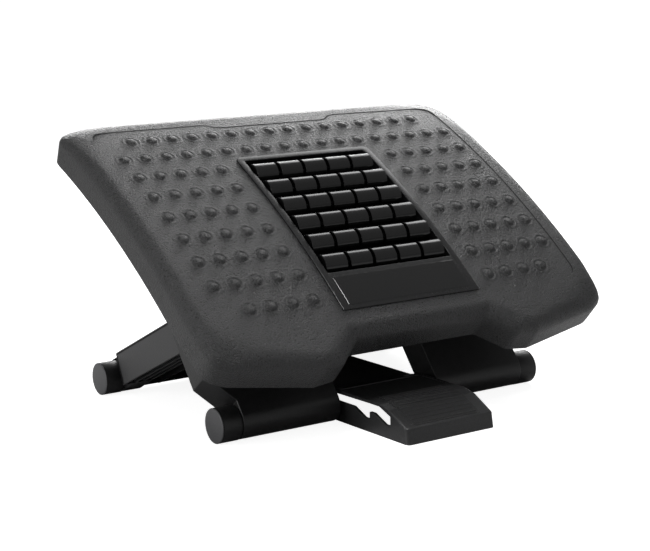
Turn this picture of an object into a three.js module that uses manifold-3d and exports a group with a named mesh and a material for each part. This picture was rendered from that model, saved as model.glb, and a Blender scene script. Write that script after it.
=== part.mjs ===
// Tilting under desk footrest: a curved massage board on two crossing legs.
// Millimetres. X to the right, Y to the rear, Z up.
// The origin is on the floor, under the middle of the whole object.
// The crossing legs and the board form a four-bar linkage. The rear leg carries the board's
// front hinge, the front leg's arms carry its rear hinge, and a rod in the front foot
// drops into the notches of a pedal that lies on the floor.
import * as THREE from 'three';
import { mergeVertices } from 'three/addons/utils/BufferGeometryUtils.js';
import Module from 'manifold-3d';

const wasm = await Module();
wasm.setup();

// shared fits
const FIT = 0.3; // gap between two parts that touch
const OVERRUN = 2; // how far a cutting shape passes the face that it cuts
const WELD = 0.0001; // points nearer than this are one point
const SINK = 0.6; // how deep a raised detail reaches into the surface that carries it
const CORNER_STEPS = 6; // facets of one rounded corner
const ROLL_STEPS = 3; // facets of the rolled edge
const OUTLINE_STEPS = 4; // facets of one corner of the board's outline

// linkage
const FOOT_RADIUS = 16.2; // feet, and so the height of both foot axes
const FRONT_FOOT_Y = -64.5;
const REAR_FOOT_Y = 162.6;
const LEG_REACH = 242.7; // foot axis to board hinge, alike for both legs
const FRONT_LEG_SLOPE = THREE.MathUtils.degToRad(52);
const REAR_LEG_SLOPE = THREE.MathUtils.degToRad(24);

// board
const BOARD_WIDTH = 450;
const BOARD_ARC_RADIUS = 947; // the top is part of this cylinder
// the middle of the top, at bump row five, is placed from the line through the two hinges
const TOP_ABOVE_HINGES = 41.57;
const TOP_PAST_MIDDLE = 3.59;
const TOP_TILT_BACK = THREE.MathUtils.degToRad(0.618); // the top lies flatter than that line
const BOARD_SKIRT = 34; // depth of the skirt below the top, square to it
const BOARD_WALL = 3;
const BOARD_ROLL = 13.2; // radius of the rolled edge round the top
const BOARD_REAR = 167.5; // distances along the curved top, rear positive
const BOARD_REAR_CORNER = 20;
const BOARD_FRONT_CORNER = 26.4; // rounding of the front outer corners
const BOARD_SIDE_BEND = 79; // slow bend where the side starts to come in
const CORNER_EASE = 5; // outer corners grow rounder towards the top by this share of the roll
const BOARD_FRONT = 166.5; // middle of the front edge, in the recess
const BOARD_WING = 193; // the furthest point of the two front wings
const BOARD_WING_CORNER = 176.5; // where a wing's front edge meets the outer corner
const BOARD_SIDE_CORNER = 167; // where that corner meets the side
const BOARD_SIDE_END = 125; // where the straight side ends
const CORNER_BACK = 2.4; // the front outer corners fall back by this share of the roll
const WING_IN = 4; // the side comes in by this much towards the front
const RECESS_HALF = (BOARD_WIDTH * 4) / 25; // half-width of the front recess at its bottom
const RECESS_MOUTH_HALF = (BOARD_WIDTH * 5) / 23; // half-width where its slanted side meets the wing
const WING_TIP_X = (BOARD_WIDTH * 7) / 26;
const WING_OUTER_X = BOARD_WIDTH / 2 - BOARD_ROLL - WING_IN * 2;
const BEND_STEP = 24; // length of one flat facet along the curve

// bumps
const BUMP_COLUMNS = 18;
const BUMP_ROWS = 9;
const BUMP_SIDE_COLUMNS = 5; // columns on each side of the rollers
const BUMP_PITCH_X = BOARD_WIDTH / (BUMP_COLUMNS + 2.4);
const BUMP_PITCH_S = 30.71;
const BUMP_RADIUS = 8;
const BUMP_CROWN_RADIUS = 5.8;
const BUMP_SHOULDER = 1.3;
const BUMP_HEIGHT = 1.8;
const BUMP_SIDES = 7;

// roller bay
const ROLLERS_PER_ROW = 5;
const ROLLER_PITCH_X = BUMP_PITCH_X * 1.26;
const ROLLER_GAP = 3.6;
const BAY_END_ROOM = 0.7; // opening beyond the outer pitch lines
const BAY_HALF = (ROLLER_PITCH_X * ROLLERS_PER_ROW) / 2 + BAY_END_ROOM; // opening over the rollers
const BAY_REAR = 70.6;
const BAY_FRONT = -96;
const FRAME_RIM = 7.1;
const FRAME_HALF = BAY_HALF + FRAME_RIM;
const FRAME_REAR = 77.2;
const FRAME_FRONT = -140;
const FRAME_CORNER = 7;
const FRAME_RISE = 1.6; // the frame's rim stands this much above the top
const FRAME_LIP = 1.4; // the rim overlaps the board's cut-out by this much
const FRAME_DEPTH = 19; // underside of the tray, below the top
const FRAME_FLOOR = 1.8;
const ROLLER_ROWS = 6;
const ROLLER_PITCH_S = 27.24;
const ROLLER_MID_S = -12.7;
const ROLLER_LENGTH = ROLLER_PITCH_X - ROLLER_GAP;
const ROLLER_RADIUS = 11;
const ROLLER_END_RADIUS = 10.4;
const ROLLER_SHOULDER = 0.6;
const ROLLER_AXIS_DEPTH = 5.8; // roller axis below the top
const ROLLER_SIDES = 12;
const AXLE_RADIUS = 2;
const AXLE_SIDES = 10;
const AXLE_SEAT = 2.4; // how deep an axle end sits in the frame
const AXLE_HALF = BAY_HALF + AXLE_SEAT;
const PANEL_HALF = BAY_HALF - BAY_END_ROOM * 2;
const PANEL_REAR = -101.5;
const PANEL_FRONT = -135.6;
const PANEL_THICK = 2.2;
const PANEL_SUNK = 0.4; // top of the blank panel below the frame's rim

// front leg
const BOARD_OVERHANG = 43; // the board's side beyond the front leg's arm
const FRONT_LEG_HALF = BOARD_WIDTH / 2 - BOARD_OVERHANG;
const FOOT_LENGTH = 21.4; // sleeve and end cap together
const FOOT_HALF = FRONT_LEG_HALF - FOOT_LENGTH; // half-width of both legs at the feet
const FRONT_LEG_FACE = 17.6; // front face ahead of the leg's centre line
const FRONT_LEG_BACK = 12.2; // rear edge behind the centre line
const LEG_WALL = 3;
const NOSE_RADIUS = 16.6;
const NOSE_AHEAD = 0.8;
const NOSE_RAISE = 0.9;
const FLARE_START = 13.5; // along the slope from the foot axis
const FLARE_END = 41.5;
const FRONT_PANEL_END = 50;
const SLOT_HALF = 56.7; // half-width of the opening for the pedal
const SLOT_END = 41.5;
const ARM_THICK = 8.7;
const ARM_END_RADIUS = 14.9;
const FRONT_RIB_X = FRONT_LEG_HALF - 74;
const NOSE_SOLID = 12; // the nose is solid up to here

// rear leg
const LEG_STEP = 10; // the rear leg fits between the front leg's arms
const REAR_LEG_HALF = FRONT_LEG_HALF - LEG_STEP;
const REAR_LEG_TOP = 18.3;
const REAR_LEG_BOTTOM = 14.6;
const REAR_WIDE_START = 29; // the wide part starts with a square shoulder
const REAR_LUG = 21.6; // thickness of the foot lugs
const REAR_LUG_INNER = FOOT_HALF - REAR_LUG;
const REAR_NOSE_RADIUS = 13.7; // rolled lower edge between the lugs and the pedal
const REAR_PLATE_END = 223;
const REAR_PLATE_FOOT = -6;
const PEDAL_BAY_HALF = 58; // no rib nearer to the middle than this
const REAR_RIB_XS = [PEDAL_BAY_HALF + 1.9, REAR_LEG_HALF - 53];
const REAR_SIDE_RIBS = 3; // long ribs over each foot lug
const NOSE_END = (Math.PI * 3) / 2;

// rods and hinges
const ROD_RADIUS = 3.5;
const ROD_SIDES = 16;
const ROD_END = FRONT_LEG_HALF - 1.8; // half the length of both foot rods
const HINGE_PIN_RADIUS = 3;
const PIN_HEAD_RADIUS = 5.2;
const PIN_HEAD = 1.6;
const LUG_RADIUS = 10.5;
const LUG_THICK = 6;
const LUG_ROOT_HALF = 14;
const FRONT_LUG_XS = [REAR_LEG_HALF - 47.4, REAR_LEG_HALF - 7.4];
const EYE_SIDES = 16;

// feet
const FOOT_END = FRONT_LEG_HALF;
const CAP_THICK = 1.4;
const CAP_EDGE = 0.5;
const FOOT_SIDES = 28;

// pedal
const PEDAL_LEFT = -52;
const PEDAL_RIGHT = 46.6;
const PEDAL_WALL = 3;
const PEDAL_TOE_Y = -178.9;
const PEDAL_TOE_TOP_Y = -176.5;
const PEDAL_TOE_HEIGHT = 14.3;
const PEDAL_BROW_Y = -150;
const PEDAL_BROW_HEIGHT = 26.4;
const PEDAL_FLAT_Y = -136;
const PEDAL_FLAT_HEIGHT = 29.6;
const PEDAL_CREASE_Y = -68.9;
const PEDAL_CREASE_HEIGHT = 30;
const PEDAL_CHANNEL_Y = -52;
const PEDAL_CHANNEL_HEIGHT = 26.6;
const PEDAL_TOP_WALL = 2.2;
const PEDAL_TOE_CORNER = 4;
const PEDAL_EYE_RADIUS = 12.5;
const TREAD_MARGIN_LEFT = 9.5;
const TREAD_MARGIN_RIGHT = 13;
const TREAD_FRONT_Y = -173.6; // the tread pad runs from the toe over the brow
const TREAD_REAR_Y = -117;
const TREAD_CORNER = 5;
const TREAD_RISE = 0.5;
const TREAD_SINK = 1;
const TREAD_RIB = 0.7;
const TREAD_RIB_WIDTH = 2;
const TREAD_RIB_END = 3;
const TREAD_RIBS = 11;
const FIELD_MARGIN = 4; // a bare sunk field behind the tread
const FIELD_FRONT_Y = -110.5;
const FIELD_REAR_Y = -71;
const FIELD_HEIGHT = 29.2;
// lower edge of the notched slot, from the front: heights and places on the side wall
const NOTCH_STEP_2 = 52; // second setting, ahead of the first
const NOTCH_STEP_3 = 83.6; // third and lowest setting
const NOTCH_FLOOR = 12.4;
const NOTCH_FACE = 4.1; // vertical notch face ahead of the rod axis
const NOTCH_RAMP_START = 3.6; // behind the rod axis, where the ramp leaves the notch
const NOTCH_RAMP = 17; // length of the ramp
const SLOT_TOP = 27.2;
const SLOT_PLATEAU = 19.4;
const SLOT_FRONT_RISE = 1.6; // the slot's front end above the plateau

// small tools
const point = (y, z) => new THREE.Vector2(y, z);

function solidOf(geometry) {
  const plain = geometry.clone();
  plain.deleteAttribute('normal');
  plain.deleteAttribute('uv');
  const merged = mergeVertices(plain, WELD);
  const index = merged.index.array;
  const kept = [];
  for (let i = 0; i < index.length; i += 3) {
    const [a, b, c] = [index[i], index[i + 1], index[i + 2]];
    if (a !== b && b !== c && a !== c) kept.push(a, b, c);
  }
  const mesh = new wasm.Mesh({
    numProp: 3,
    vertProperties: new Float32Array(merged.attributes.position.array),
    triVerts: new Uint32Array(kept),
  });
  return new wasm.Manifold(mesh);
}

function geometryOf(solid) {
  const mesh = solid.getMesh();
  const geometry = new THREE.BufferGeometry();
  geometry.setAttribute('position', new THREE.BufferAttribute(new Float32Array(mesh.vertProperties), 3));
  geometry.setIndex(Array.from(mesh.triVerts));
  geometry.computeVertexNormals();
  return geometry;
}

const union = (solids) => solids.reduce((all, one) => all.add(one));

// an outline in Y and Z, drawn out along X
function alongX(outline, from, to) {
  const geometry = new THREE.ExtrudeGeometry(new THREE.Shape(outline), {
    depth: to - from,
    bevelEnabled: false,
  });
  const turn = new THREE.Matrix4().makeBasis(
    new THREE.Vector3(0, 1, 0),
    new THREE.Vector3(0, 0, 1),
    new THREE.Vector3(1, 0, 0),
  );
  geometry.applyMatrix4(turn);
  geometry.translate(from, 0, 0);
  return solidOf(geometry);
}

// an outline in X and Y, drawn out along Z
function alongZ(outline, from, to) {
  const geometry = new THREE.ExtrudeGeometry(new THREE.Shape(outline), {
    depth: to - from,
    bevelEnabled: false,
  });
  geometry.translate(0, 0, from);
  return solidOf(geometry);
}

function block(x0, x1, y0, y1, z0, z1) {
  const geometry = new THREE.BoxGeometry(x1 - x0, y1 - y0, z1 - z0);
  geometry.translate((x0 + x1) / 2, (y0 + y1) / 2, (z0 + z1) / 2);
  return solidOf(geometry);
}

// a turned piece on an axis along X; profile points are (radius, x)
function turnedX(profile, sides) {
  const geometry = new THREE.LatheGeometry(profile, sides);
  geometry.rotateZ(-Math.PI / 2);
  return solidOf(geometry);
}

function rodX(radius, from, to, y, z, sides) {
  const profile = [point(0, from), point(radius, from), point(radius, to), point(0, to)];
  return turnedX(profile, sides).translate([0, y, z]);
}

function arc(cx, cy, radius, start, end, steps) {
  const points = [];
  for (let i = 0; i <= steps; i += 1) {
    const angle = start + ((end - start) * i) / steps;
    points.push(point(cx + radius * Math.cos(angle), cy + radius * Math.sin(angle)));
  }
  return points;
}

// rounds the corners of an outline; each corner is {x, y, r}
function rounded(corners, steps) {
  const points = [];
  corners.forEach((corner, i) => {
    const before = corners[(i + corners.length - 1) % corners.length];
    const after = corners[(i + 1) % corners.length];
    const here = point(corner.x, corner.y);
    const toBefore = point(before.x, before.y).sub(here);
    const toAfter = point(after.x, after.y).sub(here);
    const limit = Math.min(toBefore.length(), toAfter.length()) / 2;
    const a = toBefore.normalize();
    const b = toAfter.normalize();
    const half = Math.acos(THREE.MathUtils.clamp(a.dot(b), -1, 1)) / 2;
    const reach = corner.r ? Math.min(corner.r / Math.tan(half), limit) : 0;
    if (!reach) {
      points.push(here);
      return;
    }
    const start = here.clone().addScaledVector(a, reach);
    const end = here.clone().addScaledVector(b, reach);
    for (let k = 0; k <= steps; k += 1) {
      const t = k / steps;
      const p = start.clone().multiplyScalar((1 - t) * (1 - t));
      p.addScaledVector(here, 2 * t * (1 - t));
      p.addScaledVector(end, t * t);
      points.push(p);
    }
  });
  return points;
}

// hinge points
const FRONT_FOOT = point(FRONT_FOOT_Y, FOOT_RADIUS);
const REAR_FOOT = point(REAR_FOOT_Y, FOOT_RADIUS);
const frontLegDir = point(Math.cos(FRONT_LEG_SLOPE), Math.sin(FRONT_LEG_SLOPE));
const rearLegDir = point(-Math.cos(REAR_LEG_SLOPE), Math.sin(REAR_LEG_SLOPE));
const REAR_HINGE = FRONT_FOOT.clone().addScaledVector(frontLegDir, LEG_REACH);
const FRONT_HINGE = REAR_FOOT.clone().addScaledVector(rearLegDir, LEG_REACH);

// the board's curved frame: x across, s along the top, n above it
const hingeLine = REAR_HINGE.clone().sub(FRONT_HINGE).normalize();
const hingeNormal = point(-hingeLine.y, hingeLine.x);
const boardMid = REAR_HINGE.clone()
  .add(FRONT_HINGE)
  .multiplyScalar(1 / 2)
  .addScaledVector(hingeLine, TOP_PAST_MIDDLE)
  .addScaledVector(hingeNormal, TOP_ABOVE_HINGES);
const BOARD_MID_TILT = Math.atan2(hingeLine.y, hingeLine.x) - TOP_TILT_BACK;
const ARC_Y = boardMid.x + BOARD_ARC_RADIUS * Math.sin(BOARD_MID_TILT);
const ARC_Z = boardMid.y - BOARD_ARC_RADIUS * Math.cos(BOARD_MID_TILT);
const slopeAt = (s) => BOARD_MID_TILT - s / BOARD_ARC_RADIUS;

function onBoard(x, s, n) {
  const slope = slopeAt(s);
  const radius = BOARD_ARC_RADIUS + n;
  return new THREE.Vector3(x, ARC_Y - radius * Math.sin(slope), ARC_Z + radius * Math.cos(slope));
}

function boardPlace(y, z) {
  const slope = Math.atan2(ARC_Y - y, z - ARC_Z);
  const radius = Math.hypot(ARC_Y - y, z - ARC_Z);
  return { s: (BOARD_MID_TILT - slope) * BOARD_ARC_RADIUS, n: radius - BOARD_ARC_RADIUS };
}

// cuts one face along the row planes, so that the bent mesh has a facet for each row
function cutFace(face) {
  const low = Math.min(...face.map((p) => p.y));
  const high = Math.max(...face.map((p) => p.y));
  const pieces = [];
  let rest = face;
  for (let row = Math.floor(low / BEND_STEP) + 1; row * BEND_STEP < high; row += 1) {
    const level = row * BEND_STEP;
    const under = [];
    const over = [];
    rest.forEach((p, i) => {
      const q = rest[(i + 1) % rest.length];
      if (p.y <= level) under.push(p);
      if (p.y >= level) over.push(p);
      if ((p.y < level && q.y > level) || (p.y > level && q.y < level)) {
        const [a, b] = p.y < q.y ? [p, q] : [q, p];
        const cut = a.clone().lerp(b, (level - a.y) / (b.y - a.y));
        cut.y = level;
        under.push(cut);
        over.push(cut);
      }
    });
    if (under.length > 2) pieces.push(under);
    rest = over;
  }
  if (rest.length > 2) pieces.push(rest);
  return pieces;
}

// bends a solid that was drawn flat, with s as Y and n as Z, onto the board's arc
function bent(flat) {
  const mesh = flat.getMesh();
  const corner = (i) => new THREE.Vector3().fromArray(mesh.vertProperties, i * mesh.numProp);
  const positions = [];
  for (let i = 0; i < mesh.triVerts.length; i += 3) {
    const face = [0, 1, 2].map((k) => corner(mesh.triVerts[i + k]));
    cutFace(face).forEach((piece) => {
      for (let k = 1; k < piece.length - 1; k += 1) {
        const corners = [piece[0], piece[k], piece[k + 1]];
        corners.forEach((p) => positions.push(...onBoard(p.x, p.y, p.z).toArray()));
      }
    });
  }
  const geometry = new THREE.BufferGeometry();
  geometry.setAttribute('position', new THREE.Float32BufferAttribute(positions, 3));
  return solidOf(geometry);
}

// a leg is drawn lying flat: X across, Y along the slope (u), Z off its outer face (v)
function standFrontLeg(solid) {
  const place = new THREE.Matrix4().makeBasis(
    new THREE.Vector3(1, 0, 0),
    new THREE.Vector3(0, frontLegDir.x, frontLegDir.y),
    new THREE.Vector3(0, -frontLegDir.y, frontLegDir.x),
  );
  place.setPosition(0, FRONT_FOOT.x, FRONT_FOOT.y);
  return solid.transform(place.toArray());
}

// the rear leg leans the other way, so it is drawn with X mirrored to stay right-handed
function standRearLeg(solid) {
  const place = new THREE.Matrix4().makeBasis(
    new THREE.Vector3(-1, 0, 0),
    new THREE.Vector3(0, rearLegDir.x, rearLegDir.y),
    new THREE.Vector3(0, rearLegDir.y, -rearLegDir.x),
  );
  place.setPosition(0, REAR_FOOT.x, REAR_FOOT.y);
  return solid.transform(place.toArray());
}

// board shell
function boardOutline(inset, steps) {
  const half = BOARD_WIDTH / 2 - inset;
  const rear = BOARD_REAR - inset;
  const ease = inset * CORNER_EASE;
  const right = [
    { x: RECESS_HALF + inset, y: -BOARD_FRONT + inset, r: BOARD_ROLL / 2 },
    { x: RECESS_MOUTH_HALF + inset, y: -BOARD_WING + BOARD_WALL + inset, r: BOARD_ROLL },
    { x: WING_TIP_X, y: -BOARD_WING + inset, r: BOARD_ROLL },
    { x: WING_OUTER_X - inset * CORNER_BACK, y: -BOARD_WING_CORNER + inset, r: BOARD_FRONT_CORNER + ease },
    { x: half - WING_IN, y: -BOARD_SIDE_CORNER + inset * CORNER_BACK, r: BOARD_FRONT_CORNER + ease },
    { x: half, y: -BOARD_SIDE_END, r: BOARD_SIDE_BEND },
    { x: half, y: rear, r: BOARD_REAR_CORNER + ease },
  ];
  const left = right.map((c) => ({ x: -c.x, y: c.y, r: c.r })).reverse();
  return rounded([...right, ...left], steps);
}

// a slab with a rolled upper edge: plan outlines that shrink as they rise
function rolledSlab(inset, bottom, top, roll, rollSteps, cornerSteps) {
  const rings = [{ inset, n: bottom }];
  for (let k = 0; k <= rollSteps; k += 1) {
    const angle = (Math.PI / 2) * (k / rollSteps);
    rings.push({
      inset: inset + roll * (1 - Math.cos(angle)),
      n: top - roll * (1 - Math.sin(angle)),
    });
  }
  const outlines = rings.map((ring) => boardOutline(ring.inset, cornerSteps));
  const positions = [];
  const push = (p, n) => positions.push(p.x, p.y, n);
  const count = outlines[0].length;
  for (let r = 0; r < rings.length - 1; r += 1) {
    for (let i = 0; i < count; i += 1) {
      const j = (i + 1) % count;
      const [a, b] = [outlines[r][i], outlines[r][j]];
      const [c, d] = [outlines[r + 1][i], outlines[r + 1][j]];
      push(a, rings[r].n);
      push(b, rings[r].n);
      push(d, rings[r + 1].n);
      push(a, rings[r].n);
      push(d, rings[r + 1].n);
      push(c, rings[r + 1].n);
    }
  }
  [0, rings.length - 1].forEach((r) => {
    const faces = THREE.ShapeUtils.triangulateShape(outlines[r], []);
    faces.forEach((face) => {
      const order = r === 0 ? [face[2], face[1], face[0]] : face;
      order.forEach((i) => push(outlines[r][i], rings[r].n));
    });
  });
  const geometry = new THREE.BufferGeometry();
  geometry.setAttribute('position', new THREE.Float32BufferAttribute(positions, 3));
  return solidOf(geometry);
}

function bumpPlaces() {
  const places = [];
  const row = (number, columns) => {
    columns.forEach((column) => {
      places.push({
        x: (column - (BUMP_COLUMNS + 1) / 2) * BUMP_PITCH_X,
        s: ((BUMP_ROWS + 1) / 2 - number) * BUMP_PITCH_S,
      });
    });
  };
  const span = (from, to) => Array.from({ length: to - from + 1 }, (_, i) => from + i);
  const last = BUMP_COLUMNS;
  const left = BUMP_SIDE_COLUMNS;
  const right = last + 1 - left;
  row(1, span(2, last - 1));
  row(2, span(1, last));
  for (let number = 3; number < BUMP_ROWS; number += 1) {
    row(number, [...span(1, left), ...span(right, last)]);
  }
  row(BUMP_ROWS, [...span(2, left), ...span(right, last - 1)]);
  return places;
}

function bump(place) {
  const profile = [
    point(0, -SINK),
    point(BUMP_RADIUS, -SINK),
    point(BUMP_CROWN_RADIUS, BUMP_SHOULDER),
    point(0, BUMP_HEIGHT),
  ];
  const geometry = new THREE.LatheGeometry(profile, BUMP_SIDES);
  geometry.rotateX(Math.PI / 2);
  geometry.rotateX(slopeAt(place.s));
  const at = onBoard(place.x, place.s, 0);
  geometry.translate(at.x, at.y, at.z);
  return solidOf(geometry);
}

// a hinge lug: an eye at the hinge, with a root that spreads into the board's underside
function hingeLug(hinge, x) {
  const { s } = boardPlace(hinge.x, hinge.y);
  const top = -BOARD_WALL + SINK;
  const root = [onBoard(0, s + LUG_ROOT_HALF, top), onBoard(0, s - LUG_ROOT_HALF, top)];
  const slope = slopeAt(s);
  const eye = arc(hinge.x, hinge.y, LUG_RADIUS, slope - Math.PI, slope, EYE_SIDES / 2);
  const outline = [...eye, ...root.map((p) => point(p.y, p.z))];
  return alongX(outline, x, x + LUG_THICK);
}

function boardShell() {
  const outer = rolledSlab(0, -BOARD_SKIRT, 0, BOARD_ROLL, ROLL_STEPS, OUTLINE_STEPS);
  const innerRoll = BOARD_ROLL - BOARD_WALL;
  const inner = rolledSlab(BOARD_WALL, -BOARD_SKIRT - OVERRUN, -BOARD_WALL, innerRoll, 1, 2);
  const cutOut = block(
    -(FRAME_HALF - FRAME_LIP),
    FRAME_HALF - FRAME_LIP,
    FRAME_FRONT + FRAME_LIP,
    FRAME_REAR - FRAME_LIP,
    -BOARD_SKIRT,
    OVERRUN,
  );
  let shell = bent(outer.subtract(inner).subtract(cutOut));
  shell = shell.add(union(bumpPlaces().map(bump)));
  const lugs = [];
  FRONT_LUG_XS.forEach((x) => {
    lugs.push(hingeLug(FRONT_HINGE, x - LUG_THICK / 2));
    lugs.push(hingeLug(FRONT_HINGE, -x - LUG_THICK / 2));
  });
  const rearLugX = FRONT_LEG_HALF + FIT * 2;
  lugs.push(hingeLug(REAR_HINGE, rearLugX));
  lugs.push(hingeLug(REAR_HINGE, -rearLugX - LUG_THICK));
  shell = shell.add(union(lugs));
  const bore = HINGE_PIN_RADIUS + FIT;
  [FRONT_HINGE, REAR_HINGE].forEach((hinge) => {
    const reach = rearLugX + LUG_THICK + OVERRUN;
    shell = shell.subtract(rodX(bore, -reach, reach, hinge.x, hinge.y, EYE_SIDES));
  });
  return shell;
}

// roller bay
const axleAt = (row) => {
  const s = ROLLER_MID_S + ((ROLLER_ROWS - 1) / 2 - row) * ROLLER_PITCH_S;
  return onBoard(0, s, -ROLLER_AXIS_DEPTH);
};

function rollerFrame() {
  const rim = rounded(
    [
      { x: -FRAME_HALF, y: FRAME_FRONT },
      { x: FRAME_HALF, y: FRAME_FRONT },
      { x: FRAME_HALF, y: FRAME_REAR, r: FRAME_CORNER },
      { x: -FRAME_HALF, y: FRAME_REAR, r: FRAME_CORNER },
    ],
    CORNER_STEPS,
  );
  const wallHalf = FRAME_HALF - FRAME_LIP - FIT;
  const wallFront = FRAME_FRONT + FRAME_LIP + FIT;
  const wallRear = FRAME_REAR - FRAME_LIP - FIT;
  let frame = alongZ(rim, FIT, FRAME_RISE);
  frame = frame.add(block(-wallHalf, wallHalf, wallFront, wallRear, -FRAME_DEPTH, FRAME_RISE - SINK));
  const bayFloor = -FRAME_DEPTH + FRAME_FLOOR;
  frame = frame.subtract(block(-BAY_HALF, BAY_HALF, BAY_FRONT, BAY_REAR, bayFloor, FRAME_RISE + OVERRUN));
  const panelFloor = FRAME_RISE - PANEL_SUNK - PANEL_THICK - FIT;
  frame = frame.subtract(
    block(
      -PANEL_HALF - FIT,
      PANEL_HALF + FIT,
      PANEL_FRONT - FIT,
      PANEL_REAR + FIT,
      panelFloor,
      FRAME_RISE + OVERRUN,
    ),
  );
  const hollowHalf = PANEL_HALF - FRAME_LIP;
  frame = frame.subtract(
    block(
      -hollowHalf,
      hollowHalf,
      PANEL_FRONT + FRAME_LIP,
      PANEL_REAR - FRAME_LIP,
      -FRAME_DEPTH - OVERRUN,
      FRAME_RISE,
    ),
  );
  let solid = bent(frame);
  for (let row = 0; row < ROLLER_ROWS; row += 1) {
    const at = axleAt(row);
    const seat = AXLE_HALF + FIT;
    solid = solid.subtract(rodX(AXLE_RADIUS + FIT, -seat, seat, at.y, at.z, AXLE_SIDES));
  }
  return solid;
}

function coverPanel() {
  const top = FRAME_RISE - PANEL_SUNK;
  return bent(block(-PANEL_HALF, PANEL_HALF, PANEL_FRONT, PANEL_REAR, top - PANEL_THICK, top));
}

function roller() {
  const half = ROLLER_LENGTH / 2;
  const bore = AXLE_RADIUS + FIT;
  const profile = [
    point(bore, -half),
    point(ROLLER_END_RADIUS, -half),
    point(ROLLER_RADIUS, -half + ROLLER_SHOULDER),
    point(ROLLER_RADIUS, half - ROLLER_SHOULDER),
    point(ROLLER_END_RADIUS, half),
    point(bore, half),
    point(bore, -half),
  ];
  return turnedX(profile, ROLLER_SIDES);
}

// front leg, drawn flat: x across, u along the slope, v off the front face
function frontPlan(inset) {
  const foot = FOOT_HALF - inset;
  const wide = FRONT_LEG_HALF - inset;
  return [
    point(-foot, 0),
    point(foot, 0),
    point(foot, FLARE_START + inset / 2),
    point(wide, FLARE_END + inset / 2),
    point(wide, FRONT_PANEL_END),
    point(-wide, FRONT_PANEL_END),
    point(-wide, FLARE_END + inset / 2),
    point(-foot, FLARE_START + inset / 2),
  ];
}

function frontLeg() {
  // the nose hugs the foot axis; it is written in the tilted frame of the leg
  const tilt = FRONT_LEG_SLOPE;
  const noseU = -NOSE_AHEAD * Math.cos(tilt) + NOSE_RAISE * Math.sin(tilt);
  const noseV = NOSE_AHEAD * Math.sin(tilt) + NOSE_RAISE * Math.cos(tilt);
  const nose = rodX(NOSE_RADIUS, -FOOT_HALF, FOOT_HALF, noseU, noseV, FOOT_SIDES);
  const panel = alongZ(frontPlan(0), -FRONT_LEG_BACK, FRONT_LEG_FACE);
  const pocketPlan = frontPlan(LEG_WALL).map((p) => point(p.x, p.y || NOSE_SOLID));
  pocketPlan.forEach((p) => {
    if (p.y === FRONT_PANEL_END) p.y += OVERRUN;
  });
  let pocket = alongZ(pocketPlan, -FRONT_LEG_BACK - OVERRUN, FRONT_LEG_FACE - LEG_WALL);
  const rib = (x) => block(
    x - LEG_WALL / 2,
    x + LEG_WALL / 2,
    0,
    FRONT_PANEL_END + OVERRUN,
    -FRONT_LEG_BACK - OVERRUN,
    FRONT_LEG_FACE,
  );
  const slotRib = SLOT_HALF + LEG_WALL / 2;
  [-FRONT_RIB_X, FRONT_RIB_X, -slotRib, slotRib].forEach((x) => {
    pocket = pocket.subtract(rib(x));
  });
  let leg = panel.add(nose).subtract(pocket);
  // opening for the pedal; only the front skin bridges it at the top
  leg = leg.subtract(
    block(-SLOT_HALF, SLOT_HALF, -FOOT_RADIUS * 2, SLOT_END, -FOOT_RADIUS * 2, FOOT_RADIUS * 2),
  );
  leg = leg.subtract(
    block(
      -SLOT_HALF,
      SLOT_HALF,
      0,
      FRONT_PANEL_END + OVERRUN,
      -FRONT_LEG_BACK - OVERRUN,
      FRONT_LEG_FACE - LEG_WALL,
    ),
  );
  // the two arms run on to the board's rear hinge
  const armMid = (FRONT_LEG_FACE - FRONT_LEG_BACK) / 2;
  const armEnd = arc(LEG_REACH, armMid, ARM_END_RADIUS, -Math.PI / 2, Math.PI / 2, EYE_SIDES / 2);
  const armOutline = [
    point(FLARE_END, -FRONT_LEG_BACK),
    ...armEnd,
    point(FLARE_END, FRONT_LEG_FACE),
  ];
  const arm = (x) => alongX(armOutline, x, x + ARM_THICK);
  leg = leg.add(arm(FRONT_LEG_HALF - ARM_THICK)).add(arm(-FRONT_LEG_HALF));
  const reach = FRONT_LEG_HALF + OVERRUN;
  leg = leg.subtract(rodX(HINGE_PIN_RADIUS + FIT, -reach, reach, LEG_REACH, 0, EYE_SIDES));
  leg = leg.subtract(rodX(ROD_RADIUS + FIT, -reach, reach, 0, 0, ROD_SIDES));
  // the flare starts beside the feet and keeps clear of them
  [-reach, FOOT_HALF].forEach((from) => {
    const to = from + reach - FOOT_HALF;
    leg = leg.subtract(rodX(FOOT_RADIUS + FIT, from, to, 0, 0, FOOT_SIDES));
  });
  return standFrontLeg(leg);
}

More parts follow.
